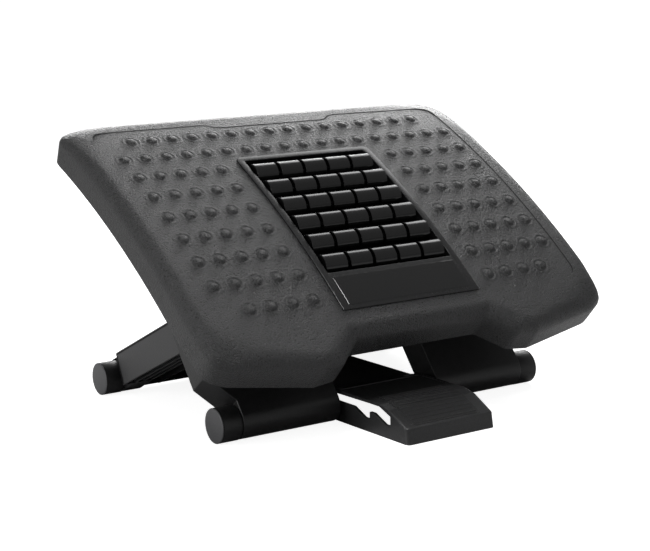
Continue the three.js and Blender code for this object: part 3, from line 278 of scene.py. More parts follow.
def plate(loops, low, high, edge, place, cuts=()):
    """Flat closed loops (outline first, then holes) carried from low to high, with quarter-round edges.

    Point (a, b) of a loop at depth c becomes place(a, b, c). Cuts are extra depths between."""
    turns = np.linspace(0, math.pi / 2, 3)
    levels = [(edge * (1 - math.sin(t)), low + edge * (1 - math.cos(t))) for t in turns]
    levels += [(0.0, depth) for depth in cuts]
    levels += [(edge * (1 - math.sin(t)), high - edge * (1 - math.cos(t))) for t in turns[::-1]]
    inset, depth = (np.array(column)[:, None] for column in zip(*levels))
    points, quads, ends, start = [], [], [[], []], 0
    for number, loop in enumerate(loops):
        loop = np.array(loop, float)
        loop = loop[np.linalg.norm(loop - np.roll(loop, 1, 0), axis=1) > 1e-3]
        after = np.roll(loop, -1, 0)
        area = np.sum(loop[:, 0] * after[:, 1] - after[:, 0] * loop[:, 1])
        if (area < 0) != (number > 0):
            loop = loop[::-1]
        along = np.roll(loop, -1, 0) - loop
        along /= np.linalg.norm(along, axis=1)[:, None]
        inward = np.column_stack([-along[:, 1], along[:, 0]])
        before = np.roll(inward, 1, 0)
        miter = (inward + before) / np.maximum(1 + (inward * before).sum(1), 0.35)[:, None]
        flat = loop[None] + miter[None] * inset[..., None]
        grid = np.concatenate([flat, np.broadcast_to(depth[..., None], flat.shape[:2] + (1,))], -1)
        xyz, faces, _ = sheet(grid, closed_v=True)
        ids = np.arange(len(xyz)).reshape(grid.shape[:2]) + start
        ends[0].append(ids[0])
        ends[1].append(ids[-1])
        points.append(xyz)
        quads.append(faces + start)
        start += len(xyz)
    points = np.vstack(points)
    caps = []
    for far, rims in enumerate(ends):
        rim_points = [[Vector((a, b, 0)) for a, b in points[ids, :2].tolist()] for ids in rims]
        corner = np.concatenate(rims)[np.array(tessellate_polygon(rim_points))]
        p, q, r = (points[corner[:, k], :2] for k in range(3))
        up = (q[:, 0] - p[:, 0]) * (r[:, 1] - p[:, 1]) - (q[:, 1] - p[:, 1]) * (r[:, 0] - p[:, 0])
        facing = (up < 0) == (far == 1)
        caps.append(np.where(facing[:, None], corner, corner[:, ::-1]))
    return place(points[:, 0], points[:, 1], points[:, 2]), np.vstack(quads), np.vstack(caps)


def across(a, b, c):
    """A side view drawn in y and z, carried along x."""
    return np.column_stack([c, a, b]) * MM


def arc(cy, cz, radius, start, end, steps):
    """Points of an arc about (cy, cz), angles in degrees."""
    angle = np.radians(np.linspace(start, end, steps))
    return np.column_stack([cy + radius * np.cos(angle), cz + radius * np.sin(angle)])


def piece_of(name, shapes, body, paint, sharp, slot, *nodes):
    """One object of several closed shapes, smooth up to the sharp angle, in place of the CAD nodes."""
    mesh = mesh_of(name, shapes)
    mesh.polygons.foreach_set("use_smooth", np.ones(len(mesh.polygons), bool))
    mesh.set_sharp_from_angle(angle=math.radians(sharp))
    mesh.materials.append(paint)
    piece = bpy.data.objects.new(name, mesh)
    bpy.context.scene.collection.objects.link(piece)
    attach(piece, body)
    if nodes:
        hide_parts(*nodes)


def node(tree, kind, values=None, **settings):
    """A node with its settings and the values of its unlinked inputs."""
    made = tree.nodes.new(kind)
    for key, value in settings.items():
        setattr(made, key, value)
    for key, value in (values or {}).items():
        made.inputs[key].default_value = value
    return made


# moulded grain: the pebbled skin that a spark-eroded mould leaves, with its uneven tone
NUMBER, COLOUR = "NodeSocketFloat", "NodeSocketColor"
grain = bpy.data.node_groups.new("moulded_grain", "ShaderNodeTree")
for label, kind in (("Scale", NUMBER), ("Dark", COLOUR), ("Light", COLOUR)):
    grain.interface.new_socket(name=label, in_out="INPUT", socket_type=kind)
for label, kind in (("Height", NUMBER), ("Color", COLOUR), ("Mask", NUMBER)):
    grain.interface.new_socket(name=label, in_out="OUTPUT", socket_type=kind)
grain_in = grain.nodes.new("NodeGroupInput")
grain_out = grain.nodes.new("NodeGroupOutput")
place = node(grain, "ShaderNodeTexCoord")
pebble = node(grain, "ShaderNodeTexNoise", {"Detail": 3.0, "Roughness": 0.6})
cloud = node(grain, "ShaderNodeTexNoise", {"Scale": 9.0, "Detail": 4.0})
cloud_share = node(grain, "ShaderNodeMath", {1: 0.25}, operation="MULTIPLY")
both = node(grain, "ShaderNodeMath", {1: 0.75}, operation="MULTIPLY_ADD")
spread = node(grain, "ShaderNodeMapRange", {"From Min": 0.38, "From Max": 0.64})
tone = node(grain, "ShaderNodeMix", data_type="RGBA")
link = grain.links.new
link(place.outputs["Object"], pebble.inputs["Vector"])
link(place.outputs["Object"], cloud.inputs["Vector"])
link(grain_in.outputs["Scale"], pebble.inputs["Scale"])
link(cloud.outputs["Fac"], cloud_share.inputs[0])
link(pebble.outputs["Fac"], both.inputs[0])
link(cloud_share.outputs[0], both.inputs[2])
link(both.outputs[0], spread.inputs["Value"])
link(spread.outputs["Result"], tone.inputs["Factor"])
link(grain_in.outputs["Dark"], tone.inputs["A"])
link(grain_in.outputs["Light"], tone.inputs["B"])
link(pebble.outputs["Fac"], grain_out.inputs["Height"])
link(tone.outputs["Result"], grain_out.inputs["Color"])
link(spread.outputs["Result"], grain_out.inputs["Mask"])


def moulded(name, dark, light, rough, scale, height, metal=0.0):
    """A grained surface: grey from dark to light, a range of roughness, relief of a height in mm."""
    paint = bpy.data.materials.new(name)
    paint.use_nodes = True
    tree = paint.node_tree
    shader = tree.nodes["Principled BSDF"]
    shader.inputs["Metallic"].default_value = metal
    skin = node(tree, "ShaderNodeGroup", node_tree=grain)
    skin.inputs["Scale"].default_value = scale
    skin.inputs["Dark"].default_value = (dark, dark, dark * 1.04, 1)
    skin.inputs["Light"].default_value = (light, light, light * 1.04, 1)
    bump = node(tree, "ShaderNodeBump", {"Strength": 1.0, "Distance": height * MM})
    gloss = node(tree, "ShaderNodeMapRange", {"To Min": rough[0], "To Max": rough[1]})
    tree.links.new(skin.outputs["Color"], shader.inputs["Base Color"])
    tree.links.new(skin.outputs["Height"], bump.inputs["Height"])
    tree.links.new(bump.outputs["Normal"], shader.inputs["Normal"])
    tree.links.new(skin.outputs["Mask"], gloss.inputs["Value"])
    tree.links.new(gloss.outputs["Result"], shader.inputs["Roughness"])
    return paint


board_plastic = moulded("board_plastic", 0.008, 0.03, (0.25, 0.42), 620.0, 1.3)

# hinge lugs under the top: a half round eye about each hinge, its root spread under the top
FRONT_HINGE, REAR_HINGE = np.array([-59.117, 114.915]), np.array([84.921, 207.450])
FRONT_LUGS, REAR_LUGS = (121.6, 161.6), (182.6,)
LUG_RADIUS, LUG_THICKNESS, LUG_ROOT, LUG_SUNK = 10.5, 6, 14, 2.4
HINGE_HOLE = 3.3
for hinge, starts in ((FRONT_HINGE, FRONT_LUGS), (REAR_HINGE, REAR_LUGS)):
    slope = math.atan2(ARC_Y - hinge[0], hinge[1] - ARC_Z)
    s = (MID_TILT - slope) * ARC_RADIUS
    eye = arc(*hinge, LUG_RADIUS, math.degrees(slope) - 180, math.degrees(slope), 16)
    root = on_board(np.zeros(2), np.array([s + LUG_ROOT, s - LUG_ROOT]), -LUG_SUNK)[:, 1:] / MM
    bore = arc(*hinge, HINGE_HOLE, 0, 345, 24)
    lug_view = [np.vstack([eye, root]), bore]
    for start in starts:
        for low in (start, -start - LUG_THICKNESS):
            board_shapes.append(plate(lug_view, low, low + LUG_THICKNESS, 0.5, across))
piece_of("board", board_shapes, "board", board_plastic, 40, "board_plastic", "board_shell")

# a fine step runs round the rear and the right side of the top, where two mould inserts meet; the thin
# near-black bead laid along it is painted shade, standing in for the step's shadow
line_corners = np.array([
    (-198.5, 134.6), (-198, 139), (-195, 142.8), (-190, 144.5), (-81, 144.5), (-73, 143.5), (-66, 138.2),
    (-60, 136.8), (60, 136.8), (66, 138.2), (73, 144.2), (81, 145.6), (189.7, 143.4), (196, 141),
    (199.6, 137.5), (200.7, 132.4), (200.7, -128), (199.6, -132.8), (196.3, -136.8),
])
LINE_TAPER = 5
side_lengths = np.linalg.norm(np.diff(line_corners, axis=0), axis=1)
run = np.concatenate([[0.0], np.cumsum(side_lengths)])
steps = np.linspace(0, run[-1], 260)
line_path = np.column_stack([np.interp(steps, run, line_corners[:, k]) for k in (0, 1)])
heading = np.gradient(line_path, axis=0)
heading /= np.linalg.norm(heading, axis=1)[:, None]
sideways = np.column_stack([-heading[:, 1], heading[:, 0]])
line_profile = np.array([(-1.0, -0.3), (-0.8, 0.05), (0.0, 0.08), (0.8, 0.05), (1.0, -0.3), (0.0, -0.5)])
taper = np.clip(np.minimum(steps, run[-1] - steps) / LINE_TAPER, 0.15, 1)
line_plan = line_path[:, None] + sideways[:, None] * line_profile[None, :, :1] * taper[:, None, None]
line_grid = on_board(line_plan[..., 0], line_plan[..., 1], line_profile[None, :, 1])
# painted shade: the bead's near-black colour is the shadow of the step, not a colour of the plastic
step_shadow_paint = moulded("line_shadow", 0.004, 0.006, (0.75, 0.85), 900.0, 0.1)
line_shape = sheet(line_grid, closed_v=True, caps=True)
piece_of("step_line", [line_shape], "board", step_shadow_paint, 40, "board_plastic")

# roller frame
# A tray of smooth black plastic, pushed into the board's cut-out from above. Its thin rim lies
# on the top, its long sides carry the ends of the roller axles, and a blank panel is set in
# its front.
BAY_HALF, BAY_REAR, BAY_FRONT = 70.2, 70.6, -96.0
FRAME_HALF, FRAME_REAR, FRAME_FRONT = 77.3, 77.2, -140.0
BAY_CORNERS, RIM_CORNERS, TRAY_CORNERS = (1.6, 3.0), (0.6, 7.0), (0.6, 5.0)
RIM_TOP, RIM_UNDERSIDE, RIM_EDGE, RIM_OVERHANG = 1.6, 0.3, 0.7, 1.7
TRAY_TOP, TRAY_FLOOR, TRAY_BOTTOM, TRAY_EDGE = 1.0, -17.2, -19.0, 0.3
FLOOR_OVERLAP, FLOOR_EDGE, FLOOR_CORNER = 2, 0.2, 1.5
frame_plastic = moulded("frame_plastic", 0.008, 0.012, (0.2, 0.28), 700.0, 0.03)


def rectangle(half, front, rear, r_front, r_rear, steps):
    """The outline of a rectangle from -half to half, its front and rear corners rounded."""
    corners = [
        (-half, front, r_front),
        (half, front, r_front),
        (half, rear, r_rear),
        (-half, rear, r_rear),
    ]
    return rounded_outline(corners, steps, 24)


def bay_ring(outer, inner, top, bottom, edge):
    """A closed ring between two rectangles, its upper edges rounded.

    A rectangle is given as half width, front, rear, front corners and rear corners."""
    turns = np.linspace(0, math.pi / 2, 6)
    lips = [(edge * (1 - math.cos(t)), top - edge * (1 - math.sin(t))) for t in turns]
    sections = [(outer, 1, 0.0, bottom)] + [(outer, 1, *lip) for lip in lips]
    sections += [(inner, -1, *lip) for lip in lips[::-1]] + [(inner, -1, 0.0, bottom)]
    grid = []
    for (half, front, rear, r_front, r_rear), sign, shrink, n in sections:
        inset = sign * shrink
        plan = rectangle(half - inset, front + inset, rear - inset, r_front, r_rear, 6)
        grid.append(on_board(plan[:, 0], plan[:, 1], n))
    return sheet(np.stack(grid), closed_u=True, closed_v=True)


def slab(half, front, rear, low, high, edge, radius):
    """A thin slab in board measures, bent with the top."""
    return plate([rectangle(half, front, rear, radius, radius, 5)], low, high, edge, on_board)


bay_plan = (BAY_HALF, BAY_FRONT, BAY_REAR, *BAY_CORNERS)
rim_plan = (FRAME_HALF, FRAME_FRONT, FRAME_REAR, *RIM_CORNERS)
tray_half, tray_front, tray_rear = (
    FRAME_HALF - RIM_OVERHANG,
    FRAME_FRONT + RIM_OVERHANG,
    FRAME_REAR - RIM_OVERHANG,
)
tray_plan = (tray_half, tray_front, tray_rear, *TRAY_CORNERS)
floor_half, floor_front, floor_rear = (
    BAY_HALF + FLOOR_OVERLAP,
    BAY_FRONT - FLOOR_OVERLAP,
    BAY_REAR + FLOOR_OVERLAP,
)
frame_shapes = [
    bay_ring(rim_plan, bay_plan, RIM_TOP, RIM_UNDERSIDE, RIM_EDGE),
    bay_ring(tray_plan, bay_plan, TRAY_TOP, TRAY_BOTTOM, TRAY_EDGE),
    slab(floor_half, floor_front, floor_rear, TRAY_BOTTOM, TRAY_FLOOR, FLOOR_EDGE, FLOOR_CORNER),
]
piece_of("roller_tray", frame_shapes, "board", frame_plastic, 20, "frame_plastic", "roller_frame")

# blank panel
# A small bare plate of glossy black plastic. It is pressed into the front of the tray, and its
# face lies just above the board's top.
PANEL_HALF, PANEL_FRONT, PANEL_REAR = 68.8, -135.6, -101.5
PANEL_TOP, PANEL_EDGE, PANEL_CORNER = 1.9, 0.4, 1.2
panel_gloss = moulded("panel_gloss", 0.005, 0.007, (0.16, 0.22), 500.0, 0.006)
panel = slab(PANEL_HALF, PANEL_FRONT, PANEL_REAR, 0.0, PANEL_TOP, PANEL_EDGE, PANEL_CORNER)
piece_of("blank_panel", [panel], "board", panel_gloss, 20, "panel_gloss", "cover_panel")

# rollers and axles
# Thirty short barrels of glossy black plastic turn on six steel rods. Each barrel is a plain
# cylinder with its end edges broken.
ROLLER_PITCH_S, ROLLER_PITCH_X, ROLLER_GAP = 27.24, BUMP_PITCH_X * 1.26, 3.6
ROLLER_RADIUS, ROLLER_BORE = 11.0, 2.3
ROLLERS_S, AXLE_DEPTH = -12.7, 5.8
roller_gloss = moulded("roller_gloss", 0.004, 0.006, (0.13, 0.2), 450.0, 0.008)
rod_steel = moulded("rod_steel", 0.3, 0.42, (0.28, 0.4), 600.0, 0.01, metal=1.0)


def turned(profile, centre, sides, side=1, bored=False):
    """A turned piece on an axis along x: profile rows (x, radius) are swung round centre = (y, z).

    A bored piece has a closed profile, another one is closed by its flat ends. Side -1 mirrors it."""
    x, radius = (np.array(column, float)[:, None] for column in zip(*profile))
    angle = np.linspace(0, 2 * math.pi, sides, endpoint=False)
    y, z = centre[0] + radius * np.cos(angle), centre[1] + radius * np.sin(angle)
    grid = np.stack([x * side + 0 * angle, y, z], -1) * MM
    return sheet(grid, closed_u=bored, closed_v=True, caps=not bored)


half_roller = (ROLLER_PITCH_X - ROLLER_GAP) / 2
roller_end = [(0.0, 10.4), (0.25, 10.75), (0.6, ROLLER_RADIUS)]
roller_profile = [(-half_roller, ROLLER_BORE)]
roller_profile += [(-half_roller + inset, radius) for inset, radius in roller_end]
roller_profile += [(half_roller - inset, radius) for inset, radius in reversed(roller_end)]
roller_profile += [(half_roller, ROLLER_BORE)]
axle_profile = [(-72.6, 1.7), (-72.3, 2.0), (72.3, 2.0), (72.6, 1.7)]
for row in range(6):
    s = ROLLERS_S + (2.5 - row) * ROLLER_PITCH_S
    axis = on_board(0.0, s, -AXLE_DEPTH)[1:] / MM
    axle = turned(axle_profile, axis, 16)
    piece_of(f"axle_{row + 1}", [axle], "board", rod_steel, 32, "steel", f"roller_axle_{row + 1}")
    for column in range(5):
        middle = (column - 2) * ROLLER_PITCH_X
        barrel = turned([(middle + x, r) for x, r in roller_profile], axis, 48, bored=True)
        number = f"{row + 1}_{column + 1}"
        roller = f"roller_{number}"
        piece_of(f"barrel_{number}", [barrel], roller, roller_gloss, 12, "roller_gloss", roller)

# front leg
# The front leg is a moulded panel in black grained plastic, open at the back. Its lower edge
# is a round nose on the foot rod, its sides flare outwards and run on as two arms to the
# board's rear hinge. The middle is cut out for the pedal.
FRONT_FOOT, REAR_FOOT = np.array([-64.5, 16.2]), np.array([162.6, 16.2])
LEG_REACH = 242.7
ROD_HOLE, PIN_HOLE = 3.8, HINGE_HOLE
NOSE_INNER, NOSE_OUTER, LEG_HALF = 56.7, 160.6, 181.9
LEG_BACK, SKIN_BACK, LEG_FRONT = -12.2, 14.6, 17.6
SHOULDER, ARM_START, RIB_FRONT = 13.5, 41.5, 16.4
ARM_INNER, ARM_OUTER = 173.3, 182
FRONT_RIBS, HALF_RIB = (58.2, 108.0), 1.5
leg_plastic = moulded("leg_plastic", 0.008, 0.018, (0.36, 0.5), 800.0, 0.2)
front_slope = math.radians(52)
front_u = np.array([math.cos(front_slope), math.sin(front_slope)])
front_v = np.array([-math.sin(front_slope), math.cos(front_slope)])


def front_side(a, b, c):
    """A side view drawn along the front leg (a up the slope, b off its front face), carried along x."""
    return np.column_stack([c, FRONT_FOOT + np.outer(a, front_u) + np.outer(b, front_v)]) * MM


def front_face(a, b, c):
    """A front view drawn on the front leg (a across, b up the slope), carried off its face."""
    return np.column_stack([a, FRONT_FOOT + np.outer(b, front_u) + np.outer(c, front_v)]) * MM


def mirrored(inner, outer, side):
    """The lower and the upper end of a range of x, on one side or the other."""
    return sorted((inner * side, outer * side))


front_shapes = []
nose_round = arc(0.217, 1.184, 16.6, 90, 306.3, 40)
nose = np.vstack([nose_round, [(13, LEG_BACK), (13, LEG_FRONT)]])
rod_hole = arc(0, 0, ROD_HOLE, 0, 345, 24)
skin = rounded_outline([
    (NOSE_INNER, 11, 0), (NOSE_OUTER, 11, 0), (NOSE_OUTER, SHOULDER, 2.5),
    (LEG_HALF, ARM_START, 4), (LEG_HALF, 50, 0), (-LEG_HALF, 50, 0), (-LEG_HALF, ARM_START, 4),
    (-NOSE_OUTER, SHOULDER, 2.5), (-NOSE_OUTER, 11, 0), (-NOSE_INNER, 11, 0),
    (-NOSE_INNER, ARM_START, 1.2), (NOSE_INNER, ARM_START, 1.2),
], 5)
front_shapes.append(plate([skin], SKIN_BACK, LEG_FRONT, 0.7, front_face))
flare = np.array([
    (NOSE_OUTER, 11.5), (NOSE_OUTER, SHOULDER), (LEG_HALF, ARM_START), (LEG_HALF, 52),
    (178.9, 52), (178.9, 42.5), (157.6, 14.6), (157.6, 11.5),
])
arm_round = arc(LEG_REACH, 2.7, 14.9, -90, 90, 24)
arm = np.vstack([[(ARM_START, LEG_BACK)], arm_round, [(ARM_START, LEG_FRONT)]])
pin_hole = arc(LEG_REACH, 0, PIN_HOLE, 0, 345, 24)
rib = np.array([(11, LEG_BACK), (50, LEG_BACK), (50, RIB_FRONT), (11, RIB_FRONT)])
for side in (1, -1):
    nose_ends = mirrored(NOSE_INNER, NOSE_OUTER, side)
    arm_ends = mirrored(ARM_INNER, ARM_OUTER, side)
    front_shapes.append(plate([nose, rod_hole], *nose_ends, 0.7, front_side))
    front_shapes.append(plate([flare * (side, 1)], LEG_BACK, RIB_FRONT, 0.5, front_face))
    front_shapes.append(plate([arm, pin_hole], *arm_ends, 1.0, front_side))
    for x in FRONT_RIBS:
        front_shapes.append(plate([rib], x * side - HALF_RIB, x * side + HALF_RIB, 0.4, front_side))
piece_of("front_leg_panel", front_shapes, "front_leg", leg_plastic, 20, "leg_plastic", "front_leg")

# feet
# Each end of both foot rods carries a round rubber sleeve, closed by a flat grey end cap that
# is pressed in.
foot_rubber = moulded("foot_rubber", 0.008, 0.014, (0.42, 0.55), 600.0, 0.1)
cap_plastic = moulded("cap_plastic", 0.07, 0.095, (0.4, 0.5), 800.0, 0.1)
sleeve_profile = [
    (160.9, ROD_HOLE), (160.9, 15.5), (161.2, 16.0), (161.7, 16.2),
    (179.8, 16.2), (180.2, 16.0), (180.3, 15.6), (180.3, ROD_HOLE),
]
cap_profile = [
    (180.6, 15.4), (180.6, 15.8), (180.8, 16.1), (181.2, 16.2),
    (181.6, 16.0), (181.85, 15.5), (182.0, 14.6),
]
for end, centre, body in (("front", FRONT_FOOT, "front_leg"), ("rear", REAR_FOOT, "rear_feet")):
    for side, sign in (("left", -1), ("right", 1)):
        sleeve = [turned(sleeve_profile, centre, 64, sign, bored=True)]
        foot = f"{end}_foot_{side}"
        piece_of(f"{end}_sleeve_{side}", sleeve, body, foot_rubber, 40, "foot_rubber", foot)
        cap = [turned(cap_profile, centre, 64, sign)]
        foot_cap = f"{end}_foot_cap_{side}"
        piece_of(f"{end}_end_cap_{side}", cap, body, cap_plastic, 40, "cap_plastic", foot_cap)

# rods and pins
# Plain steel rods: one through the rear feet, one through the board's front hinge, two headed
# pins at its rear hinge, and the lock rod through the front feet, which rests in the pedal's
# notches. Its two lengths end just short of the pedal, so that it can leave a notch.
FOOT_ROD_END, FOOT_ROD_RADIUS = 180.2, 3.5
LOCK_ROD_LEFT, LOCK_ROD_RIGHT = -52.3, 46.9
HINGE_ROD_END, HINGE_ROD_RADIUS = 170.1, 3.0
ROD_CHAMFER = 0.5


def rod(name, start, end, radius, centre, body):
    """A plain round rod with chamfered ends."""
    tip = radius - ROD_CHAMFER
    profile = [(start, tip), (start + ROD_CHAMFER, radius), (end - ROD_CHAMFER, radius), (end, tip)]
    piece_of(name, [turned(profile, centre, 24)], body, rod_steel, 32, "steel", name)


rod("lock_rod_left", -FOOT_ROD_END, LOCK_ROD_LEFT, FOOT_ROD_RADIUS, FRONT_FOOT, "front_leg")
rod("lock_rod_right", LOCK_ROD_RIGHT, FOOT_ROD_END, FOOT_ROD_RADIUS, FRONT_FOOT, "front_leg")
rod("rear_foot_rod", -FOOT_ROD_END, FOOT_ROD_END, FOOT_ROD_RADIUS, REAR_FOOT, "rear_rod")
rod("front_hinge_rod", -HINGE_ROD_END, HINGE_ROD_END, HINGE_ROD_RADIUS, FRONT_HINGE, "front_hinge")
pin_profile = [
    (173.6, 2.6), (174, 3.0), (188.9, 3.0), (188.9, 4.8),
    (189.2, 5.2), (190.0, 5.2), (190.5, 4.4),
]
for side, sign in (("left", -1), ("right", 1)):
    pin = [turned(pin_profile, REAR_HINGE, 24, sign)]
    piece_of(f"hinge_pin_{side}", pin, "rear_hinge", rod_steel, 32, "steel", f"rear_hinge_pin_{side}")

# rear leg
# The rear leg is a wide moulded plate with a wall down each side and long ribs below. Its
# lower end narrows at a square shoulder to two lugs on the rear foot rod.
DECK_HALF, DECK_END, DECK_START, DECK_FOOT = 172, 223, 29, -6
DECK_TOP, DECK_UNDERSIDE, WALL_TOP, WALL_BOTTOM = 18.3, 15.3, 17.4, -14.6
LUG_INNER, GAP_HALF, REAR_WALL = 139, 58, 3
REAR_WALLS, REAR_RIBS = (169.0, 139.0, 148.3, 157.6), (59.9, 119.0)
rear_slope = math.radians(24)
rear_u = np.array([-math.cos(rear_slope), math.sin(rear_slope)])
rear_v = np.array([math.sin(rear_slope), math.cos(rear_slope)])


def rear_side(a, b, c):
    """A side view drawn along the rear leg (a up the slope, b off its upper face), carried along x."""
    return np.column_stack([c, REAR_FOOT + np.outer(a, rear_u) + np.outer(b, rear_v)]) * MM


def rear_face(a, b, c):
    """A top view drawn on the rear leg (a across, b up the slope), carried off its face."""
    return np.column_stack([a, REAR_FOOT + np.outer(b, rear_u) + np.outer(c, rear_v)]) * MM


deck = rounded_outline([
    (GAP_HALF, DECK_FOOT, 0), (NOSE_OUTER, DECK_FOOT, 0), (NOSE_OUTER, DECK_START, 0.6),
    (DECK_HALF, DECK_START, 1.5), (DECK_HALF, DECK_END, 2), (-DECK_HALF, DECK_END, 2),
    (-DECK_HALF, DECK_START, 1.5), (-NOSE_OUTER, DECK_START, 0.6), (-NOSE_OUTER, DECK_FOOT, 0),
    (-GAP_HALF, DECK_FOOT, 0), (-GAP_HALF, DECK_START, 0), (GAP_HALF, DECK_START, 0),
], 4)
rear_shapes = [plate([deck], DECK_UNDERSIDE, DECK_TOP, 0.6, rear_face)]
wall_end = arc(LEG_REACH, 0, 14.6, -90, 90, 20)
side_wall = np.vstack([[(29.3, WALL_BOTTOM)], wall_end, [(DECK_END, WALL_TOP), (29.3, WALL_TOP)]])
long_rib = np.vstack([[(3, WALL_BOTTOM)], wall_end, [(DECK_END, WALL_TOP), (3, WALL_TOP)]])
lug_round = arc(0, 0, 15.9, 90, 270, 30)
lug = np.vstack([lug_round, [(29.6, WALL_BOTTOM), (29.6, 17.8), (DECK_FOOT, 17.8)]])
rib_eye = arc(0, 0, 13.6, 0, 350, 40)
outer_start, inner_start = math.degrees(math.acos(-6 / 13.7)), math.degrees(math.acos(-3 / 10.7))
nose_wall = np.vstack([
    [(-3, 15.9), (-6, 15.9)],
    arc(0, 0, 13.7, outer_start, 270, 26),
    arc(0, 0, 10.7, 270, inner_start, 22),
])
end_wall = np.array([(29, WALL_BOTTOM), (32, WALL_BOTTOM), (32, WALL_TOP), (29, WALL_TOP)])
for side in (1, -1):
    for low in REAR_WALLS:
        wall_ends = mirrored(low, low + REAR_WALL, side)
        rear_shapes.append(plate([side_wall, pin_hole], *wall_ends, 0.5, rear_side))
    for x in REAR_RIBS:
        low, high = x * side - HALF_RIB, x * side + HALF_RIB
        rear_shapes.append(plate([long_rib, pin_hole], low, high, 0.4, rear_side))
        rear_shapes.append(plate([rib_eye, rod_hole], low, high, 0.4, rear_side))
    rear_shapes.append(plate([lug, rod_hole], *mirrored(LUG_INNER, NOSE_OUTER, side), 0.6, rear_side))
    rear_shapes.append(plate([nose_wall], *mirrored(GAP_HALF, 139.4, side), 0.4, rear_side))
    rear_shapes.append(plate([end_wall], *mirrored(LUG_INNER, DECK_HALF, side), 0.4, rear_side))
rear_plastic = moulded("rear_leg_plastic", 0.02, 0.034, (0.34, 0.46), 800.0, 0.15)
piece_of("rear_leg_plate", rear_shapes, "rear_leg", rear_plastic, 20, "leg_plastic", "rear_leg")

# pedal
# The pedal is a long channel of dark plastic that lies on the floor between the feet. Its side
# walls have a slot with one notch for each height; the toe slopes up to a bent brow, behind it
# the top has a smooth sunk field, and the rear end turns on the rear foot rod.
PEDAL_LEFT, PEDAL_RIGHT, TOE_CORNER = -52.0, 46.6, 4.0
TOE_BEND_END, TOE_BEND_RUN = -168, 8
HEEL_RADIUS, HEEL_FRONT = 12.5, 150.1
NOTCH_FLOOR, NOTCH_TOP, SLOT_TOP = 12.4, 19.4, 27.0
NOTCH_HALF, RAMP_START, RAMP_END = 4.1, 3.6, 20.6
NOTCH_STEPS = (83.6, 52.0)
PEDAL_WALL, WALL_SUNK = 3, 0.12
FIELD_LEFT, FIELD_RIGHT, FIELD_SUNK = -48.0, 42.6, 0.3
pedal_plastic = moulded("pedal_plastic", 0.018, 0.03, (0.34, 0.46), 800.0, 0.15)


def pedal_side(y, z, x):
    """A side view carried along x, with round corners at the toe.

    Where x is d into a corner of radius r, the toe moves back by r - sqrt(r^2 - d^2)."""
    depth = np.maximum(PEDAL_LEFT + TOE_CORNER - x, x - PEDAL_RIGHT + TOE_CORNER)
    depth = np.clip(depth, 0, TOE_CORNER)
    back = TOE_CORNER - np.sqrt(np.maximum(TOE_CORNER**2 - depth**2, 0))
    return across(y + back * np.clip((TOE_BEND_END - y) / TOE_BEND_RUN, 0, 1), z, x)


heel_top = [(y, z, 0) for y, z in arc(*REAR_FOOT, HEEL_RADIUS, 90, 41, 8)]
bend = rounded_outline([
    (-178.9, 0.3, 0), (-176.5, 14.3, 2.2), (-150, 26.4, 14), (-136, 29.6, 10), (-111, 29.75, 0),
    (-110.4, 29.2, 0), (-71, 29.2, 0), (-70.6, 29.95, 0), (-68.9, 30.0, 0), (-52, 26.6, 4),
    (HEEL_FRONT, 26.6, 0), *heel_top, (172.0, 24.2, 0), (-51.6, 24.2, 3), (-68.9, 27.4, 1.5),
    (-136, 27.0, 8), (-150, 24.0, 10), (-174.3, 12.9, 1.2), (-175.9, 0.3, 0),
], 6)
corner_cuts = [0.8, 1.4, 2.2, 3.0, 4.2]
skin_cuts = [PEDAL_LEFT + cut for cut in corner_cuts]
skin_cuts += [PEDAL_RIGHT - cut for cut in corner_cuts[::-1]]
pedal_shapes = [plate([bend], PEDAL_LEFT, PEDAL_RIGHT, 0.6, pedal_side, skin_cuts)]
wall_view = np.vstack([
    [(-174.6, 0), (138, 0)],
    arc(*REAR_FOOT, HEEL_RADIUS, -90, 90, 24),
    [(HEEL_FRONT, 25.6), (-52.2, 25.6), (-69.2, 28.7), (-136, 28.3), (-149.7, 25.2), (-174.6, 13.7)],
])
notch_corners = []
for step in NOTCH_STEPS:
    notch_y = FRONT_FOOT[0] - step
    notch_corners += [
        (notch_y - NOTCH_HALF, NOTCH_TOP, 1.0),
        (notch_y - NOTCH_HALF, NOTCH_FLOOR, 1.2),
        (notch_y + RAMP_START, NOTCH_FLOOR, 1.2),
        (notch_y + RAMP_END, NOTCH_TOP, 1.5),
    ]
slot_front, slot_rear = FRONT_FOOT[0] - NOTCH_STEPS[0] - NOTCH_HALF, FRONT_FOOT[0] + NOTCH_HALF
slot = rounded_outline([
    *notch_corners,
    (FRONT_FOOT[0] - NOTCH_HALF, NOTCH_TOP, 1.0),
    (FRONT_FOOT[0] - NOTCH_HALF, NOTCH_FLOOR, 1.5),
    (slot_rear, NOTCH_FLOOR, 1.5),
    (slot_rear, SLOT_TOP, 1.5),
    (-136, SLOT_TOP, 4.0),
    (slot_front, 21.0, 1.0),
], 4)
rear_rod_hole = arc(*REAR_FOOT, ROD_HOLE, 0, 345, 24)
for low in (PEDAL_LEFT + WALL_SUNK, PEDAL_RIGHT - WALL_SUNK - PEDAL_WALL):
    wall = plate([wall_view, slot, rear_rod_hole], low, low + PEDAL_WALL, 0.35, across)
    pedal_shapes.append(wall)
# the sunk field keeps a rim of full height at both sides
field_rim = np.array([(-112, 28.0), (-69.5, 28.0), (-69.5, 29.97), (-112, 29.75)])
for low, high in ((PEDAL_LEFT + FIELD_SUNK, FIELD_LEFT), (FIELD_RIGHT, PEDAL_RIGHT - FIELD_SUNK)):
    pedal_shapes.append(plate([field_rim], low, high, 0.3, across))
piece_of("pedal_channel", pedal_shapes, "pedal", pedal_plastic, 20, "pedal_plastic", "pedal")

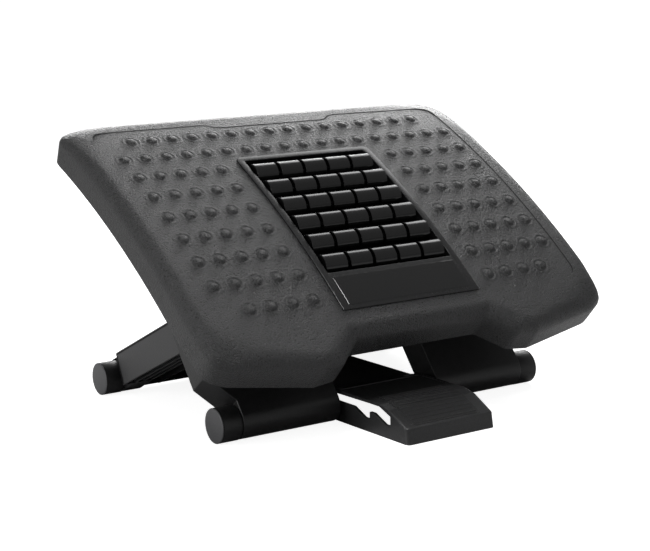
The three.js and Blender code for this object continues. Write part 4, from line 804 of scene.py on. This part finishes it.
# tread
# A ribbed rubber pad lies on the toe's slope and over the brow, where the foot pushes the pedal
# down. Its ribs run across the foot, its front corners are round.
PAD_LEFT, PAD_RIGHT, PAD_FRONT, PAD_REAR, PAD_CORNER = -42.5, 33.6, -173.6, -117.0, 5.0
PAD_STRAIGHT, PAD_RIBS = -167, 11
tread_rubber = moulded("tread_rubber", 0.012, 0.02, (0.42, 0.55), 900.0, 0.1)
top_y = np.array([-176.5, -150, -136, -68.9])
top_z = np.array([14.3, 26.4, 29.6, 30.0])


def above_top(x, y, n):
    """Metres from x, y and the height n above the pedal's top line."""
    return np.stack(np.broadcast_arrays(x, y, np.interp(y, top_y, top_z) + n), -1) * MM


corner_y = PAD_FRONT + PAD_CORNER * (1 - np.cos(np.linspace(0, math.pi / 2, 7)))
pad_y = np.concatenate([corner_y, np.linspace(PAD_STRAIGHT, PAD_REAR, 26)])[:, None]
into = np.clip(PAD_CORNER - (pad_y - PAD_FRONT), 0, PAD_CORNER)
cut_in = PAD_CORNER - np.sqrt(PAD_CORNER**2 - into**2)
pad_share = np.array([0, 0, 0.003, 0.997, 1, 1])
pad_n = np.array([-0.9, 0.3, 0.5, 0.5, 0.3, -0.9])
pad_x = PAD_LEFT + cut_in + (PAD_RIGHT - PAD_LEFT - cut_in * 2) * pad_share
tread_shapes = [sheet(above_top(pad_x, pad_y, pad_n), closed_v=True, caps=True)]
rib_pitch = (PAD_REAR - PAD_FRONT) / PAD_RIBS
rib_y = np.array([-1.0, -0.95, -0.6, 0.6, 0.95, 1.0])
rib_n = np.array([0.1, 0.9, 1.17, 1.17, 0.9, 0.1])
rib_x = np.array([PAD_LEFT + 3, PAD_LEFT + 3.5, PAD_RIGHT - 3.5, PAD_RIGHT - 3])[:, None]
rib_level = np.array([0.6, 1.0, 1.0, 0.6])[:, None]
for k in range(PAD_RIBS):
    tread_rib = above_top(rib_x, PAD_FRONT + (k + 0.5) * rib_pitch + rib_y, rib_n * rib_level)
    tread_shapes.append(sheet(tread_rib, closed_v=True, caps=True))
piece_of("tread_pad", tread_shapes, "pedal", tread_rubber, 20, "tread_rubber", "pedal_tread")
